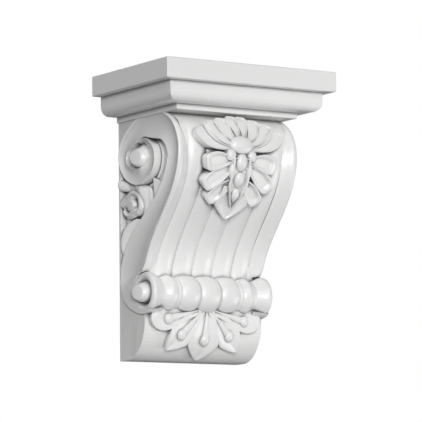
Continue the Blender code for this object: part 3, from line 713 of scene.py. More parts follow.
def turned_tree():
    """A turned bar along X: beads, a fillet and a ring, a neck, and flared ends that are dished."""
    tree, source = new_tree("turned_roll", ("Centre",), {
        "Length": 0.12, "Middle Bead": 0.02, "Side Bead": 0.018, "Fillet": 0.003, "Ring": 0.0145,
        "Bead Radius": 0.0157, "Groove Radius": 0.0137, "Neck Radius": 0.0128, "Flare Radius": 0.018,
        "Lip": 0.002, "Dish Depth": 0.006, "Dish Floor": 0.009,
    }, {"Around": 112, "Levels": 260})
    mesh, turn, level = drum(tree, source)
    # Share of the levels that makes the bar; the others make its dished ends
    bar = 0.90
    signed = (level - 0.5) * 2.0
    outward = signed.work("ABSOLUTE")
    end = source["Length"] * 0.5
    aside = (outward / bar).held() * end
    into_dish = ((outward - bar) / (1.0 - bar)).held()
    groove, neck = source["Groove Radius"], source["Neck Radius"]
    first = source["Middle Bead"] * 0.5
    second = first + source["Side Bead"]
    third = second + source["Fillet"]
    fourth = third + source["Ring"]
    roundness = 0.68
    swell = hump(aside + first, source["Middle Bead"]) ** roundness
    swell = swell + hump(aside - first, source["Side Bead"]) ** roundness
    swell = swell + hump(aside - second, source["Fillet"]) ** 0.5 * 0.32
    in_ring = ((aside - third) / (fourth - third)).held()
    ring = ((in_ring / 0.42).held() ** 0.5) * (1.0 - ((in_ring - 0.38) / 0.62).eased())
    beads = (swell + ring * 0.93) * (source["Bead Radius"] - groove)
    settle = in_ring.eased() * (neck - groove)
    flare = ((aside - fourth) / (end - fourth)).held()
    flare = mix(flare.eased(), flare ** 0.7, 0.55) * (source["Flare Radius"] - neck)
    over_lip = ((aside - end + source["Lip"]) / source["Lip"]).held()
    lip = (1.0 - (1.0 - over_lip * over_lip).work("MAXIMUM", 0.0) ** 0.5) * source["Lip"]
    radius = mix(groove + beads + settle + flare - lip, source["Dish Floor"], into_dish)
    hollow = into_dish ** 1.5 * source["Dish Depth"]
    middle = parts_of(tree, source["Centre"])
    position = add_node(tree, "ShaderNodeCombineXYZ", {
        "X": middle[0] + signed.work("SIGN") * (aside - hollow),
        "Y": middle[1] - turn.work("COSINE") * radius,
        "Z": middle[2] - turn.work("SINE") * radius,
    })
    return end_tree(tree, mesh, position.outputs[0])


def sizes_of(group, *names):
    return {name: getattr(group, name) for name in names}


def grow(name, tree, **values):
    """A form that a tree makes; each value is set by the identifier of the input with its name."""
    form = bpy.data.objects.new(name, bpy.data.meshes.new(name))
    workshop().objects.link(form)
    modifier = form.modifiers.new("shape", "NODES")
    modifier.node_group = tree
    known = {item.name: item.identifier for item in tree.interface.items_tree if item.in_out == "INPUT"}
    for word, value in values.items():
        modifier[known[word.replace("_", " ").title()]] = value
    return form


def make_plain(forms):
    """Turns grown forms into plain closed meshes."""
    graph = bpy.context.evaluated_depsgraph_get()
    for form in forms:
        mesh = bpy.data.meshes.new_from_object(form.evaluated_get(graph))
        if not mesh.polygons:
            raise RuntimeError(f"{form.name} came out empty")
        close_and_turn_out(mesh)
        form.modifiers.clear()
        form.data = mesh


def cast_skin():
    """Fine grain over a slow unevenness, as a height, and the unevenness alone as a mottle."""
    group = bpy.data.node_groups.get("cast_skin")
    if group is not None:
        return group
    group = bpy.data.node_groups.new("cast_skin", "ShaderNodeTree")
    for label, default in (("Grain", 0.001), ("Unevenness", 0.012)):
        socket = group.interface.new_socket(label, in_out="INPUT", socket_type="NodeSocketFloat")
        socket.default_value = default
    for label in ("Height", "Mottle"):
        group.interface.new_socket(label, in_out="OUTPUT", socket_type="NodeSocketFloat")
    source = group.nodes.new("NodeGroupInput").outputs
    where = add_node(group, "ShaderNodeTexCoord").outputs["Object"]
    grain = add_node(group, "ShaderNodeTexNoise", {
        "Vector": where, "Scale": 1.0 / Sum(source["Grain"]), "Detail": 3.0, "Roughness": 0.55
    })
    uneven = add_node(group, "ShaderNodeTexNoise", {
        "Vector": where, "Scale": 1.0 / Sum(source["Unevenness"]), "Detail": 2.0, "Roughness": 0.5
    })
    out = group.nodes.new("NodeGroupOutput")
    feed(out.inputs["Height"], Sum(grain.outputs["Fac"]) * 0.25 + Sum(uneven.outputs["Fac"]))
    feed(out.inputs["Mottle"], uneven.outputs["Fac"])
    return group


def ranged(tree, value, start, end, first=0.0, last=1.0):
    """A number that goes from first to last while the value goes from start to end."""
    return Sum(add_node(tree, "ShaderNodeMapRange", {
        "Value": value, "From Min": start, "From Max": end, "To Min": first, "To Max": last
    }).outputs[0])


def blend(tree, share, first, second):
    """A colour between two."""
    node = add_node(tree, "ShaderNodeMix", {"Factor": share, "A": first, "B": second}, data_type="RGBA")
    return node.outputs["Result"]


def close_under_cap(tree, finish):
    """The share of the painted shade to leave out: it rises close under the cap and falls again on the
    fillet.
    """
    lines = Lines(bpy.context)
    underside = lines.high.z - lines.cap_height
    where = add_node(tree, "ShaderNodeTexCoord").outputs["Object"]
    above = parts_of(tree, where)[2] - underside
    rising = ranged(tree, above, -finish.unshaded_from, -finish.unshaded_full, 0.0, finish.clean)
    on_fillet = ranged(tree, above, 0.0006, 0.0016, 1.0, 0.0)
    return rising * on_fillet


def satin_white():
    """Satin white paint on a cast skin, with painted shade darkening its grooves and its tight recesses."""
    material = bpy.data.materials.get("satin_white")
    if material is not None:
        return material
    finish = bpy.context.scene.corbel.finish
    material = bpy.data.materials.new("satin_white")
    material.use_nodes = True
    tree = material.node_tree
    skin_sizes = {"Grain": finish.grain, "Unevenness": finish.unevenness}
    skin = add_node(tree, "ShaderNodeGroup", skin_sizes, node_tree=cast_skin()).outputs
    # Painted shade in the grooves: where the pointiness is low, the paint colour turns to the darker groove
    # shade colour
    bend = add_node(tree, "ShaderNodeNewGeometry").outputs["Pointiness"]
    grooves = ranged(tree, bend, finish.groove_shade_full, finish.groove_shade_none)
    paint = blend(tree, grooves, (*finish.groove_shade, 1.0), (*finish.paint, 1.0))
    # Painted shade in the recesses: the colour goes towards the shade colour where the ambient occlusion is
    # low
    recess = add_node(tree, "ShaderNodeAmbientOcclusion", {"Distance": finish.shade_reach}, samples=12)
    openness = ranged(tree, recess.outputs["AO"], finish.shade_full, finish.shade_none)
    openness = mix(openness, 1.0, close_under_cap(tree, finish))
    rounded = add_node(tree, "ShaderNodeBevel", {"Radius": finish.rounding}, samples=4)
    relief = add_node(tree, "ShaderNodeBump", {
        "Strength": finish.relief_share,
        "Distance": finish.relief,
        "Height": skin["Height"],
        "Normal": rounded.outputs[0],
    })
    look = {
        "Base Color": blend(tree, openness, (*finish.shade, 1.0), paint),
        "Roughness": Sum(skin["Mottle"]) * finish.mottle + (finish.roughness - finish.mottle / 2),
        "Specular IOR Level": 0.6,
        "Normal": relief.outputs[0],
    }
    for name, value in look.items():
        feed(tree.nodes["Principled BSDF"].inputs[name], value)
    return material


class CapForm(bpy.types.Operator):
    """Carves the cap: a square slab over an ovolo and a fillet, mitred at its two front corners"""

    bl_idname = "corbel.cap"
    bl_label = "Cap"

    def execute(self, context):
        lines = Lines(context)
        cap = lines.sizes.cap
        fillet_out = cap.fillet_reveal
        ovolo_out = fillet_out + cap.ovolo_out
        slab_out = ovolo_out + cap.slab_out
        ovolo_foot = cap.slab_height + cap.ovolo_height
        easing = cap.slab_easing
        profile = self.quarter(slab_out - easing, easing, easing, 90, 0)
        profile += self.quarter(slab_out - easing, cap.slab_height - easing, easing, 0, -90)
        profile.append((ovolo_out, cap.slab_height))
        round_out, round_drop = ovolo_out - cap.ovolo_radius, ovolo_foot - cap.ovolo_radius
        profile += self.quarter(round_out, round_drop, cap.ovolo_radius, 0, -90, steps=20)
        profile.append((fillet_out, ovolo_foot))
        fine = easing / 2
        profile += self.quarter(fillet_out - fine, lines.cap_height - fine, fine, 0, -90)
        rings = []
        for out, drop in profile:
            half = lines.face + out
            reach = cap.fillet_reach - cap.fillet_reveal + out
            corners = [(-half, 0.0), (-half, reach), (half, reach), (half, 0.0)]
            rings.append([lines.spot(x, depth, drop) for x, depth in corners])
        loft("cap", rings)
        return {"FINISHED"}

    def quarter(self, out, drop, radius, start, end, steps=5):
        """A quarter round of the profile; 90 degrees points up and 0 points out."""
        found = []
        for i in range(steps + 1):
            angle = math.radians(mix(start, end, i / steps))
            found.append((out + radius * math.cos(angle), drop - radius * math.sin(angle)))
        return found


class ScrollForm(bpy.types.Operator):
    """Carves the reeded front of the scroll and what stands behind it"""

    bl_idname = "corbel.scroll"
    bl_label = "Reeded scroll"

    def execute(self, context):
        lines = Lines(context)
        scroll = lines.sizes.scroll
        outline = lines.front()
        path, start = lines.path("scroll_path", outline, lines.full_drop)
        whole = sum(math.dist(a, b) for a, b in zip(outline, outline[1:]))
        buried_end = 0.012
        front = grow(
            "reeded_front", reed_tree(), path=path, path_start=start, width=scroll.core_width,
            start=-start, end=whole - start - buried_end,
            thickness=2 * (scroll.reed_height + scroll.panel_sink),
            **sizes_of(scroll, "middle_reed", "second_reed", "reeded_width", "reed_height", "panel_sink",
                       "panel_start", "panel_full")
        )
        make_plain([front])
        self.backing(lines, outline)
        self.corner(lines)
        return {"FINISHED"}

    def backing(self, lines, outline):
        """The block behind the reeded front, the plate against the wall and the foot block."""
        foot = lines.sizes.foot
        inside_cap = lines.cap_height - lines.sizes.cap.fillet_height / 2
        inset = 0.009
        side = [(foot.plate / 2, inside_cap), (outline[0][0] - inset, inside_cap)]
        for before, here, after in zip(outline[6::6], outline[7::6], outline[8::6]):
            span = math.dist(before, after)
            out, down = (after[1] - before[1]) / span, (before[0] - after[0]) / span
            side.append((here[0] - inset * out, here[1] - inset * down))
        side.append((foot.plate / 2, side[-1][1]))
        loft_across(lines, "backing", side, lines.core)
        half = foot.width / 2
        plate_foot = lines.height - 0.004
        plate = ((0.0, inside_cap), (foot.plate, inside_cap), (foot.plate, plate_foot), (0.0, plate_foot))
        loft_across(lines, "back_plate", plate, half)
        # The block's top slopes down behind the roll: distance from the wall and drop below the roll's axis
        slope = ((0.0, -0.003), (0.009, 0.0), (0.016, 0.005), (0.024, 0.0098), (0.032, 0.0135))
        block = [(reach, lines.roll_drop + drop) for reach, drop in slope]
        block.append((foot.reach, lines.roll_drop + 0.0155))
        below = block[-1][1] + 0.0005
        block += [point for point in lines.foot() if point[1] > below] + [(0.0, lines.height)]
        loft_across(lines, "foot", block, half)

    def corner(self, lines):
        """The flat corner behind the upper volute, between the cap and the wall."""
        lap = 0.003
        plate = lines.sizes.foot.plate
        inside_cap = lines.cap_height - lines.sizes.cap.fillet_height / 2
        side = [(plate / 3, inside_cap), (plate / 3, lines.eye[1])]
        for turn, radius, _, _ in UPPER_WHORL[-5:-1]:
            angle = math.radians(turn)
            distance = radius * MILLIMETRE - lap
            reach = lines.eye[0] + distance * math.cos(angle)
            side.append((reach, lines.eye[1] - distance * math.sin(angle)))
        side.append((side[-1][0], inside_cap))
        loft_across(lines, "corner", side, lines.sizes.foot.width / 2)


class BandForm(bpy.types.Operator):
    """Carves each side band as one ribbon: an upper volute, the S and the hook under the roll"""

    bl_idname = "corbel.bands"
    bl_label = "Side bands"

    degrees_a_step: plain("Step", "Turn in degrees between two sections of a volute", 5.0)

    def whorl(self, rows, centre, plate):
        """Pairs of edge points round a volute, on the smooth curve through the rows of its outline."""
        found = []
        for row in range(len(rows) - 1):
            steps = max(1, round(abs(rows[row + 1][0] - rows[row][0]) / self.degrees_a_step))
            for step in range(steps + (row == len(rows) - 2)):
                values = through(rows, row, step / steps)
                pair = []
                for turn, radius in (values[:2], values[2:]):
                    angle = math.radians(turn)
                    reach = centre[0] + radius * MILLIMETRE * math.cos(angle)
                    drop = centre[1] - radius * MILLIMETRE * math.sin(angle)
                    pair.append((max(reach, plate / 4), drop))
                found.append(pair)
        return found

    def execute(self, context):
        lines = Lines(context)
        sizes = lines.sizes
        plate = sizes.foot.plate
        upper = self.whorl(UPPER_WHORL, lines.eye, plate)
        lower = self.whorl(LOWER_WHORL, (sizes.roll.reach, lines.roll_drop), plate)
        shoulder_steps, ogee_steps = 24, 60
        middle = []
        for i in range(shoulder_steps):
            turn = mix(-90, 0, i / shoulder_steps)
            middle.append((lines.shoulder(turn), lines.band_shoulder(turn)))
        for i in range(ogee_steps + 1):
            share = i / ogee_steps
            middle.append((lines.ogee(0.85 * share), lines.band_ogee(mix(0.06, 0.9, share))))
        rings = []
        for number, (first, second) in enumerate(upper + middle + lower):
            into_band = (number - len(upper)) / shoulder_steps
            into_hook = (number - len(upper) - len(middle)) / len(lower)
            wound = number / len(upper)
            rings.append(self.section(lines, first, second, wound, into_band, into_hook))
        # The ribbon's outer turn laps over its inner turn, so it is made as two forms. The second one starts
        # inside the first
        join = len(upper) // 2
        inside = [sum(values) / len(values) for values in zip(*rings[join - 1])]
        start = [tuple(mix(a, b, 0.3) for a, b in zip(point, inside)) for point in rings[join - 1]]
        loft_pair(lines, "volute", rings[:join + 1])
        loft_pair(lines, "band", [start] + rings[join:])
        skirt_start = 4
        self.skirt(lines, upper[skirt_start:join])
        return {"FINISHED"}

    def skirt(self, lines, pairs):
        """The sloping ground at the foot of the inner turn."""
        rings = []
        for first, second in pairs:
            width = math.dist(first, second)
            out = [(a - b) / width for a, b in zip(first, second)]
            rings.append([
                (lines.core + height, first[0] + out[0] * away, first[1] + out[1] * away)
                for height, away in SKIRT
            ])
        loft_pair(lines, "skirt", rings)

    def section(self, lines, first, second, wound, into_band, into_hook):
        """One section of the ribbon, from its buried front edge over its face to its back edge.

        wound runs from 0 at the tail to 1 where the band begins. into_band goes on from there in shares of
        the shoulder, and into_hook runs from 0 to 1 under the roll.
        """
        volute, band = lines.sizes.volute, lines.sizes.band
        width = math.dist(first, second)
        toward = [(b - a) / width for a, b in zip(first, second)]
        rim_foot = lines.sizes.scroll.reeded_width / 2
        swell = volute.swell * (1 - smooth(wound * 1.15 - 0.05)) - volute.tail * (1 - smooth(wound / 0.16))
        face = lines.face - band.set_in + swell + band.hook_out * smooth(into_hook * 3)
        on_front = smooth(into_band / 0.12 + 0.3) * (1 - smooth(into_hook * 8))
        lean = volute.lean * (1 - smooth((wound - 0.02) / 0.28))
        funnel = volute.funnel * (1 - smooth((wound - 0.26) / 0.26))
        flare = limit(into_hook * 2.4 - 0.6)
        section = [(rim_foot - band.lap, band.lap_back * on_front - lean)]
        for share, back in RIM:
            leaning = lean * (1 - share) ** 2 * (1 - on_front)
            section.append((mix(rim_foot, face, share), back * MILLIMETRE * on_front - leaning))
        easing = min(mix(band.edge_round, band.rim_round, on_front) / width, 0.25)
        steps = 14
        for i in range(steps + 1):
            share = mix(easing, 1 - band.edge_round / width, i / steps)
            hollow = band.cove * 4 * share * (1 - share) * (1 - smooth(into_hook * 4))
            section.append((face - hollow - funnel * share ** 1.35, width * share))
        section.append((face - funnel - band.back_round, width))
        section.append((rim_foot - band.lap, width * (1 - 0.5 * flare)))
        return [(x, first[0] + toward[0] * along, first[1] + toward[1] * along) for x, along in section]


class RollForm(bpy.types.Operator):
    """Turns the beaded roll across the foot"""

    bl_idname = "corbel.roll"
    bl_label = "Beaded roll"

    def execute(self, context):
        lines = Lines(context)
        roll = lines.sizes.roll
        form = grow(
            "roll", turned_tree(), centre=lines.spot(0.0, roll.reach, lines.roll_drop),
            length=2 * (lines.face + roll.proud),
            **sizes_of(roll, "middle_bead", "side_bead", "fillet", "ring", "bead_radius", "groove_radius",
                       "neck_radius", "flare_radius", "lip", "dish_depth", "dish_floor")
        )
        make_plain([form])
        return {"FINISHED"}


class ButtonForms(bpy.types.Operator):
    """Turns the blunt cone in the eye of each volute"""

    bl_idname = "corbel.buttons"
    bl_label = "Volute buttons"

    around: IntProperty(name="Sides", description="Points round a button", default=48, min=3)

    def execute(self, context):
        lines = Lines(context)
        volute, roll = lines.sizes.volute, lines.sizes.roll
        upper = (lines.eye[0], lines.eye[1] + volute.upper_below)
        lower = (roll.reach - volute.lower_back, lines.roll_drop - volute.lower_above)
        self.button(lines, "upper_button", upper, volute.upper_button, volute.upper_out, volute.upper_foot)
        self.button(lines, "lower_button", lower, volute.lower_button, volute.lower_out, volute.lower_foot)
        return {"FINISHED"}

    def button(self, lines, name, centre, radius, out, foot):
        """A blunt cone that ends in a small disc.

        foot is the radius of its foot as a share of the button's. The foot spreads back and up, and the end
        hangs down a little and is tilted to the front.
        """
        foot_back, foot_up, end_down, tilt = 0.20, 0.50, 0.12, 0.26
        base, top = lines.core - BURIED, lines.face + out
        flank = ((0.0, foot), (0.42, foot), (0.54, mix(foot, 1.0, 0.45)), (0.64, 1.03), (0.72, 0.99))
        end = ((2.2, 0.90), (0.8, 0.78), (0.3, 0.73), (0.1, 0.68), (0.0, 0.2))
        profile = [(mix(base, top, height), share) for height, share in flank]
        profile += [(top - below * MILLIMETRE, share) for below, share in end]
        rings = []
        for x, share in profile:
            raised = smooth((x - base) / (top - base))
            widened = max(share - 1.0, 0.0)
            reach = centre[0] - foot_back * radius * widened
            drop = centre[1] - foot_up * radius * widened + end_down * radius * raised
            ring = []
            for i in range(self.around):
                angle = 2 * math.pi * i / self.around
                out_by, down_by = radius * share * math.cos(angle), radius * share * math.sin(angle)
                ring.append((x - tilt * raised * out_by, reach + out_by, drop + down_by))
            rings.append(ring)
        loft_pair(lines, name, rings)


class SideLeafForms(bpy.types.Operator):
    """Carves the curled leaf, the bud and the long leaf on each sunk side"""

    bl_idname = "corbel.side_leaves"
    bl_label = "Side leaves"

    def execute(self, context):
        lines = Lines(context)
        self.curled_leaf(lines)
        self.long_leaf(lines)
        self.bud(lines)
        return {"FINISHED"}

    def points(self, lines, places):
        """Places given in millimetres from the wall and from the upper eye, as reach and drop."""
        return [(reach * MILLIMETRE, lines.eye[1] + drop * MILLIMETRE) for reach, drop in places]

    def between(self, lines, name, edges, steps, across_steps, ends, first_rises, rise_at):
        """A leaf between two Bezier edges.

        first_rises are its heights at the first edge. rise_at gives the others, from the shares along and
        across it and the distance from the wall.
        """
        rings = []
        for i in range(steps + 1):
            share = i / steps
            a, b = (bezier(edge, share) for edge in edges)
            ring = [(lines.core + rise, *a) for rise in first_rises]
            for step in range(across_steps + 1):
                across = mix(*ends, step / across_steps)
                reach = mix(a[0], b[0], across)
                ring.append((lines.core + rise_at(share, across, reach), reach, mix(a[1], b[1], across)))
            ring.append((lines.core - BURIED, *b))
            rings.append(ring)
        loft_pair(lines, name, rings)

    def curled_leaf(self, lines):
        """The leaf under the upper volute, high at the wall and again over the bud, and low at the band."""
        outer = self.points(lines, ((2, 18), (14, 23), (30, 25), (44, 21), (50, 26), (50, 40), (43, 51)))
        inner = self.points(
            lines, ((2, 28), (12, 30.5), (23, 29), (33, 33), (37.5, 38), (38.5, 44), (37, 50))
        )
        heights = ((0, 8.6), (4, 8.0), (14, 3.8), (22, 3.8), (30, 6.6), (35, 6.8), (43, 2.6), (50, 1.6))

        def rise_at(along, across, reach):
            edge = math.sin(math.pi * (0.10 + 0.80 * across)) ** 0.35
            return at_place(heights, reach / MILLIMETRE) * MILLIMETRE * edge

        self.between(lines, "curled_leaf", (outer, inner), 48, 10, (0.06, 0.98), (-BURIED, 0.0008), rise_at)
        corners = self.points(lines, ((51.8, 21.0), (63.0, 26.5), (53.2, 37.0)))
        rises = (0.0034, 0.0001, 0.0030)
        rings = [[(lines.core - BURIED, *corner) for corner in corners]]
        rings.append([(lines.core + rise, *corner) for rise, corner in zip(rises, corners)])
        loft_pair(lines, "leaf_end", rings)

    def long_leaf(self, lines):
        """The leaf between the bud and the band, with its ridge near the wall."""
        left = self.points(lines, ((21, 53.5), (7, 58), (0.8, 65), (0.8, 78), (3.5, 84)))
        right = self.points(lines, ((34, 55.5), (25, 62), (17, 71), (10, 80), (6, 87)))
        section = ((0, 0.55), (0.08, 0.86), (0.18, 1.0), (0.32, 0.96), (0.6, 0.66), (1.0, 0.12))
        ridge = 0.0074

        def rise_at(along, across, reach):
            swell = ridge * math.sqrt(math.sin(math.pi * (0.06 + 0.88 * along)))
            return swell * at_place(section, across)

        self.between(lines, "long_leaf", (left, right), 28, 12, (0.02, 0.96), (-BURIED,), rise_at)

    def bud(self, lines):
        """A rolled bud: an outer petal wound round an inner one, with a slit where they meet."""
        centre = self.points(lines, ((20.5, 41.5),))[0]
        # Its outline by degrees and millimetres from its centre
        outline = (
            (-167.4, 11.9), (-160, 15.9), (-141.5, 15.7), (-106, 12.4), (-63, 12.0), (-29.4, 16.3),
            (-14.5, 18.4), (5.4, 17.0), (25.5, 16.7), (69, 12.5), (131, 12.5), (148.8, 14.9),
            (175.7, 18.7), (192.6, 11.9),
        )
        first_turn, last_turn = outline[0][0], outline[-1][0]
        # Where the petals part: the share of the winding, and the share of the outline's radius
        groove = (
            (0, 0.93), (0.1, 0.80), (0.25, 0.52), (0.41, 0.38),
            (0.57, 0.36), (0.75, 0.42), (0.9, 0.55), (1, 0.72),
        )
        # Section of each petal: the share of the way out over it, and its height in millimetres
        outer_roll = (
            (1.0, -5.0), (1.0, 1.0), (0.97, 2.6), (0.88, 4.6), (0.74, 5.9),
            (0.58, 6.3), (0.42, 5.9), (0.26, 4.8), (0.12, 3.4), (0.03, 1.6),
        )
        inner_roll = ((0.97, 1.4), (0.90, 3.6), (0.78, 5.4), (0.60, 6.4), (0.40, 6.7), (0.15, 6.6))
        slit_floor, highest_floor = 4.9, 6.0
        around = 72
        rings = []
        for number, (share, rise) in enumerate(outer_roll + inner_roll):
            ring = []
            for i in range(around):
                turn = first_turn + 360 * (i + 0.5) / around
                wound = limit((last_turn - turn) / 360)
                parting = at_place(groove, wound)
                away = mix(parting, 1.0, share) if number < len(outer_roll) else parting * share
                radius = at_place(outline, turn) * away * MILLIMETRE
                angle = math.radians(turn)
                slit = math.exp(-((wound - 0.48) / 0.13) ** 2) + math.exp(-((wound - 1.0) / 0.06) ** 2)
                shallow = 0.0 if share > 0.98 else slit_floor * (1 - limit(slit))
                ring.append((
                    lines.core + max(rise, min(shallow, highest_floor)) * MILLIMETRE,
                    centre[0] + radius * math.cos(angle),
                    centre[1] - radius * math.sin(angle),
                ))
            rings.append(ring)
        loft_pair(lines, "bud", rings)


class LaidForms:
    """Leaves and beads laid along one outline; places on it are in millimetres and heights in metres."""

    def __init__(self, lines, name, outline, zero_drop):
        self.path, self.start = lines.path(name, outline, zero_drop)
        self.leaf, self.bead = leaf_tree(), bead_tree()
        self.forms = []

    def add(self, name, tree, **values):
        self.forms.append(grow(name, tree, path=self.path, path_start=self.start, **values))

    def lay(self, name, line, heights, half, **shape):
        """A leaf along a line of three points, with its heights at the root and the tip."""
        all_heights = (heights[0], (heights[0] + heights[1]) / 2, heights[1])
        root, middle, tip = (
            (x * MILLIMETRE, along * MILLIMETRE, high) for (x, along), high in zip(line, all_heights)
        )
        self.add(name, self.leaf, root=root, middle=middle, tip=tip, half_width=half * MILLIMETRE, **shape)

    def drop(self, name, x, along, half, half_length, high, pointed=0.0, edge=0.3):
        """A bead with its middle at a place."""
        self.add(
            name, self.bead, centre=(x * MILLIMETRE, along * MILLIMETRE, high), half_width=half * MILLIMETRE,
            half_length=half_length * MILLIMETRE, pointed=pointed, edge=edge
        )


class PalmetteForms(bpy.types.Operator):
    """Lays the palmette on the shoulder: eight fan petals, three pairs below and a tongue, round a boss"""

    bl_idname = "corbel.palmette"
    bl_label = "Upper palmette"

    def execute(self, context):
        lines = Lines(context)
        palmette = lines.sizes.palmette
        laid = LaidForms(lines, "palmette_path", lines.front(), lines.cap_height + palmette.below_cap)
        thick, boss = palmette.thickness, palmette.boss
        # Each petal on the right: its line across and along, its half width and the height of its tip
        fan = (
            (((1.6, -9), (4.9, -22), (5.0, -31.8)), 5.9, 7.0),
            (((4.5, -8), (15.8, -17), (16.4, -29.6)), 6.9, 6.2),
            (((7.5, -6), (25.6, -11.0), (28.4, -26.4)), 7.4, 5.5),
            (((10.0, -4.5), (30.5, -5.0), (39.6, -21.4)), 7.6, 4.8),
        )
        below = (
            (((8, 4), (20, 5.5), (35.0, 8.5)), 7.4, 6.3),
            (((6, 9), (19, 15.5), (33.0, 28.0)), 7.3, 5.6),
            (((3, 20), (13, 27), (25.0, 41.5)), 6.7, 4.9),
        )
        fan_shape = {
            "root_width": 0.30, "fullest": 0.80, "blunt": 3.0, "rim": 0.11, "cup": 0.26, "slope": 0.16,
            "edge": 0.80, "cup_from": 0.25, "cup_to": 0.86,
        }
        below_shape = {
            "root_width": 0.40, "fullest": 0.66, "blunt": 3.8, "rim": 0.20, "cup": 0.46, "slope": 0.36,
            "edge": 0.86, "cup_from": 0.25, "cup_to": 0.66,
        }
        rows = (("fan", fan, 0.85, fan_shape), ("side", below, 0.9, below_shape))
        for side, word in SIDES:
            for row, petals, root_share, shape in rows:
                for number, (line, half, tip) in enumerate(petals):
                    turned = [(side * x, along) for x, along in line]
                    heights = (tip * MILLIMETRE * root_share, tip * MILLIMETRE)
                    laid.lay(f"{row}_{word}_{number}", turned, heights, half, **shape)
            laid.drop(f"lobe_{word}", side * 10.2, 1.2, 5.2, 5.4, thick * 1.55)
            laid.drop(f"lower_lobe_{word}", side * 8.6, 13.0, 3.3, 7.6, thick * 1.50)
        middle_shape = {"pointed": 1.0, "fullest": 0.5, "cup": 0.34, "edge": 0.84, "cup_from": 0.1}
        laid.lay("tongue", ((0, 26), (0, 45), (0, 58)), (thick, thick * 0.95), 16.2,
                 root_width=0.8, rim=0.20, slope=0.35, cup_to=0.80, **middle_shape)
        laid.lay("sheath", ((0, 3), (0, 26), (0, 46)), (thick * 1.45, thick * 1.35), 9.6,
                 root_width=0.9, rim=0.16, slope=0.20, cup_to=0.86, **middle_shape)
        laid.drop("root_pad", 0, -12.0, 22.0, 16.0, thick * 1.04)
        laid.drop("middle_pad", 0, 14.0, 14.0, 24.0, thick * 0.90)
        laid.drop("boss", 0, -7.0, 12.2, 7.6, boss * 1.04)
        laid.drop("bead_0", 0, 6.6, 6.4, 7.8, boss, 0.1)
        laid.drop("bead_1", 0, 20.6, 5.7, 7.3, boss * 0.94, 0.25)
        laid.drop("bead_2", 0, 34.2, 4.8, 7.6, boss * 0.86, 0.75)
        make_plain(laid.forms)
        return {"FINISHED"}


class LowerPalmetteForms(bpy.types.Operator):
    """Lays the palmette under the roll: a leaf in the middle, a pointed one and a round lobe on each side"""

    bl_idname = "corbel.lower_palmette"
    bl_label = "Lower palmette"

    def execute(self, context):
        lines = Lines(context)
        laid = LaidForms(lines, "foot_path", lines.foot(), lines.roll_drop)
        thick = lines.sizes.palmette.lower_thickness
        dish = {"rim": 0.14, "cup": 0.24, "edge": 0.82, "cup_from": 0.10, "cup_to": 0.82}
        laid.lay("middle_leaf", ((0, 8), (0, 40), (0, 58.2)), (thick * 1.1, thick * 0.75), 15.4,
                 pointed=1.0, fullest=0.62, **dish)
        self.stem(laid, thick, "middle_stem", (0, 12), (0, 37.8), 3.3)
        for side, word in SIDES:
            laid.lay(f"pointed_leaf_{word}", ((side * 4, 10), (side * 23, 33), (side * 35.8, 47.4)),
                     (thick, thick * 0.95), 11.2, pointed=1.0, fullest=0.64, **dish)
            laid.lay(f"round_lobe_{word}", ((side * 6, 12), (side * 36, 18.0), (side * 54.8, 23.0)),
                     (thick, thick * 0.9), 11.6, fullest=0.66, **dish)
            self.stem(laid, thick, f"pointed_stem_{word}", (side * 4, 14), (side * 24.0, 34.0), 3.2)
            self.stem(laid, thick, f"lobe_stem_{word}", (side * 6, 13), (side * 38.0, 21.6), 3.2)
        make_plain(laid.forms)
        return {"FINISHED"}

    def stem(self, laid, thick, name, root, end, half):
        """A stem from a leaf's root, and the drop at its end."""
        middle = tuple(mix(a, b, 0.5) for a, b in zip(root, end))
        laid.lay(name, (root, middle, end), (thick * 1.10, thick * 1.25), half,
                 root_width=0.30, fullest=0.95, rim=0.9, cup=0.0, edge=0.55, around=40)
        laid.drop(name + "_drop", end[0], end[1], half * 1.32, half * 1.42, thick * 1.50, edge=0.55)


class CastCorbel(bpy.types.Operator):
    """Casts all the forms as one closed piece in satin white"""

    bl_idname = "corbel.cast"
    bl_label = "Cast in one piece"

    def execute(self, context):
        forms = [form for form in workshop().objects if form.type == "MESH"]
        body = bpy.data.objects["cap"]
        others = bpy.data.collections.new("others")
        context.scene.collection.children.link(others)
        for form in forms:
            workshop().objects.unlink(form)
            if form is not body:
                others.objects.link(form)
        context.scene.collection.objects.link(body)
        joined = body.modifiers.new("one_casting", "BOOLEAN")
        joined.operation = "UNION"
        joined.operand_type = "COLLECTION"
        joined.collection = others
        joined.solver = "MANIFOLD"
        mesh = bpy.data.meshes.new_from_object(body.evaluated_get(context.evaluated_depsgraph_get()))
        mesh.name = "cast_corbel"
        for form in list(others.objects):
            bpy.data.objects.remove(form, do_unlink=True)
        bpy.data.objects.remove(body, do_unlink=True)
        for path in list(workshop().objects):
            bpy.data.objects.remove(path, do_unlink=True)
        for collection in (others, workshop()):
            bpy.data.collections.remove(collection)
        piece = self.finish_mesh(context, mesh)
        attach(piece, "root")
        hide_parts(NODE)
        return {"FINISHED"}

    def finish_mesh(self, context, mesh):
        """Checks that the casting is closed, and gives it its finish and the shading of its edges."""
        work = bmesh.new()
        work.from_mesh(mesh)
        open_edges = sum(len(edge.link_faces) != 2 for edge in work.edges)
        bmesh.ops.triangulate(work, faces=work.faces)
        work.to_mesh(mesh)
        work.free()
        print("cast corbel:", len(mesh.polygons), "triangles,", open_edges, "open edges")
        if open_edges:
            raise RuntimeError("the casting isn't closed")
        mesh.materials.clear()
        mesh.materials.append(satin_white())
        mesh.shade_smooth()
        mesh.set_sharp_from_angle(angle=math.radians(context.scene.corbel.finish.sharp))
        piece = bpy.data.objects.new("cast_corbel", mesh)
        context.scene.collection.objects.link(piece)
        weighted = piece.modifiers.new("even_shading", "WEIGHTED_NORMAL")
        weighted.keep_sharp = True
        return piece


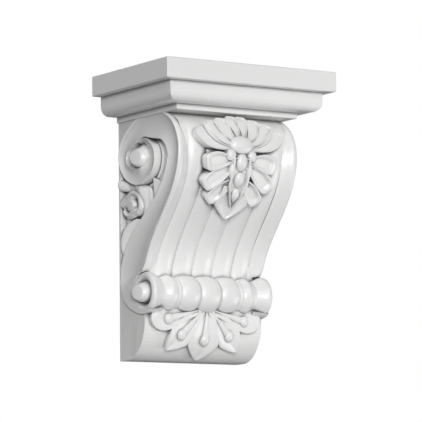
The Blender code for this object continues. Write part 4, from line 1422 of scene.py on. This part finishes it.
class Studio(bpy.types.Operator):
    """Sets the corbel over a pale floor in soft light, with the camera below it to its left"""

    bl_idname = "corbel.studio"
    bl_label = "Studio"

    def execute(self, context):
        studio = context.scene.corbel.studio
        self.camera(context, studio)
        self.floor(context, studio)
        self.sky(context, studio)
        for name, azimuth, elevation, spread in SUNS:
            sun = self.light(context, f"{name}_light", "SUN", azimuth, elevation, getattr(studio, name))
            sun.data.angle = math.radians(spread)
        low = self.light(context, "low_light", "AREA", *LOW_LIGHT, studio.low)
        low.data.size = studio.low_size
        low.location = self.direction(*LOW_LIGHT) * studio.low_distance
        context.scene.view_settings.view_transform = "Standard"
        return {"FINISHED"}

    def direction(self, azimuth, elevation):
        """From the corbel outwards, in degrees round from its front and above the horizon."""
        around, height = math.radians(azimuth), math.radians(elevation)
        return Vector((
            math.sin(around) * math.cos(height), -math.cos(around) * math.cos(height), math.sin(height)
        ))

    def camera(self, context, studio):
        azimuth, roll = math.radians(studio.azimuth), math.radians(studio.roll)
        back = self.direction(studio.azimuth, studio.elevation)
        right = Vector((math.cos(azimuth), math.sin(azimuth), 0.0))
        up = back.cross(right)
        low, high = (Vector(corner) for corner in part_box(NODE))
        target = (low + high) / 2 + right * studio.aim_right + up * studio.aim_up
        tilted_right = right * math.cos(roll) + up * math.sin(roll)
        tilted_up = up * math.cos(roll) - right * math.sin(roll)
        data = bpy.data.cameras.new("camera")
        data.lens = studio.lens
        data.clip_end = 100.0
        camera = bpy.data.objects.new("camera", data)
        context.scene.collection.objects.link(camera)
        place = Matrix((tilted_right, tilted_up, back)).transposed().to_4x4()
        place.translation = target + back * studio.distance
        camera.matrix_world = place
        context.scene.camera = camera

    def floor(self, context, studio):
        half = studio.floor_half
        mesh = bpy.data.meshes.new("floor")
        corners = ((-half, -half), (half, -half), (half, half), (-half, half))
        mesh.from_pydata([(x, y, -studio.floor_drop) for x, y in corners], [], [(0, 1, 2, 3)])
        pale = bpy.data.materials.new("pale_floor")
        pale.use_nodes = True
        shader = pale.node_tree.nodes["Principled BSDF"]
        shader.inputs["Base Color"].default_value = (*studio.floor_colour, 1.0)
        shader.inputs["Roughness"].default_value = 0.8
        mesh.materials.append(pale)
        floor = bpy.data.objects.new("floor", mesh)
        context.scene.collection.objects.link(floor)

    def sky(self, context, studio):
        """White to the camera, and a soft even light to everything else."""
        world = bpy.data.worlds.new("studio")
        world.use_nodes = True
        context.scene.world = world
        tree = world.node_tree
        background = tree.nodes["Background"]
        background.inputs["Color"].default_value = (1.0, 1.0, 1.0, 1.0)
        seen = add_node(tree, "ShaderNodeLightPath").outputs["Is Camera Ray"]
        feed(background.inputs["Strength"], mix(studio.sky, 1.0, Sum(seen)))

    def light(self, context, name, kind, azimuth, elevation, strength):
        """A light that shines on the corbel from a direction."""
        data = bpy.data.lights.new(name, kind)
        data.energy = strength
        light = bpy.data.objects.new(name, data)
        light.rotation_euler = self.direction(azimuth, elevation).to_track_quat("Z", "Y").to_euler()
        context.scene.collection.objects.link(light)
        return light


STEPS = (
    CapForm, ScrollForm, BandForm, RollForm, ButtonForms, SideLeafForms, PalmetteForms, LowerPalmetteForms,
    CastCorbel, Studio,
)


class CorbelPanel(bpy.types.Panel):
    """Lists the steps and the sizes that a user would change"""

    bl_idname = "VIEW3D_PT_corbel"
    bl_label = "Corbel"
    bl_space_type = "VIEW_3D"
    bl_region_type = "UI"
    bl_category = "Corbel"

    def draw(self, context):
        column = self.layout.column(align=True)
        for step in STEPS:
            column.operator(step.bl_idname)
        settings = context.scene.corbel
        for part in CorbelSettings.__annotations__:
            box = self.layout.box()
            box.label(text=part.title())
            group = getattr(settings, part)
            for size in group.__annotations__:
                box.prop(group, size)


SIZE_GROUPS = (
    CapSizes, ScrollSizes, BandSizes, RollSizes, FootSizes, VoluteSizes, PalmetteSizes, FinishSettings,
    StudioSettings, CorbelSettings,
)


def register():
    for kind in (*SIZE_GROUPS, *STEPS, CorbelPanel):
        bpy.utils.register_class(kind)
    bpy.types.Scene.corbel = PointerProperty(type=CorbelSettings)


def unregister():
    del bpy.types.Scene.corbel
    for kind in reversed((*SIZE_GROUPS, *STEPS, CorbelPanel)):
        bpy.utils.unregister_class(kind)


def main():
    register()
    for step in STEPS:
        family, name = step.bl_idname.split(".")
        getattr(getattr(bpy.ops, family), name)()
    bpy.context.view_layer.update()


if __name__ == "__main__":
    main()
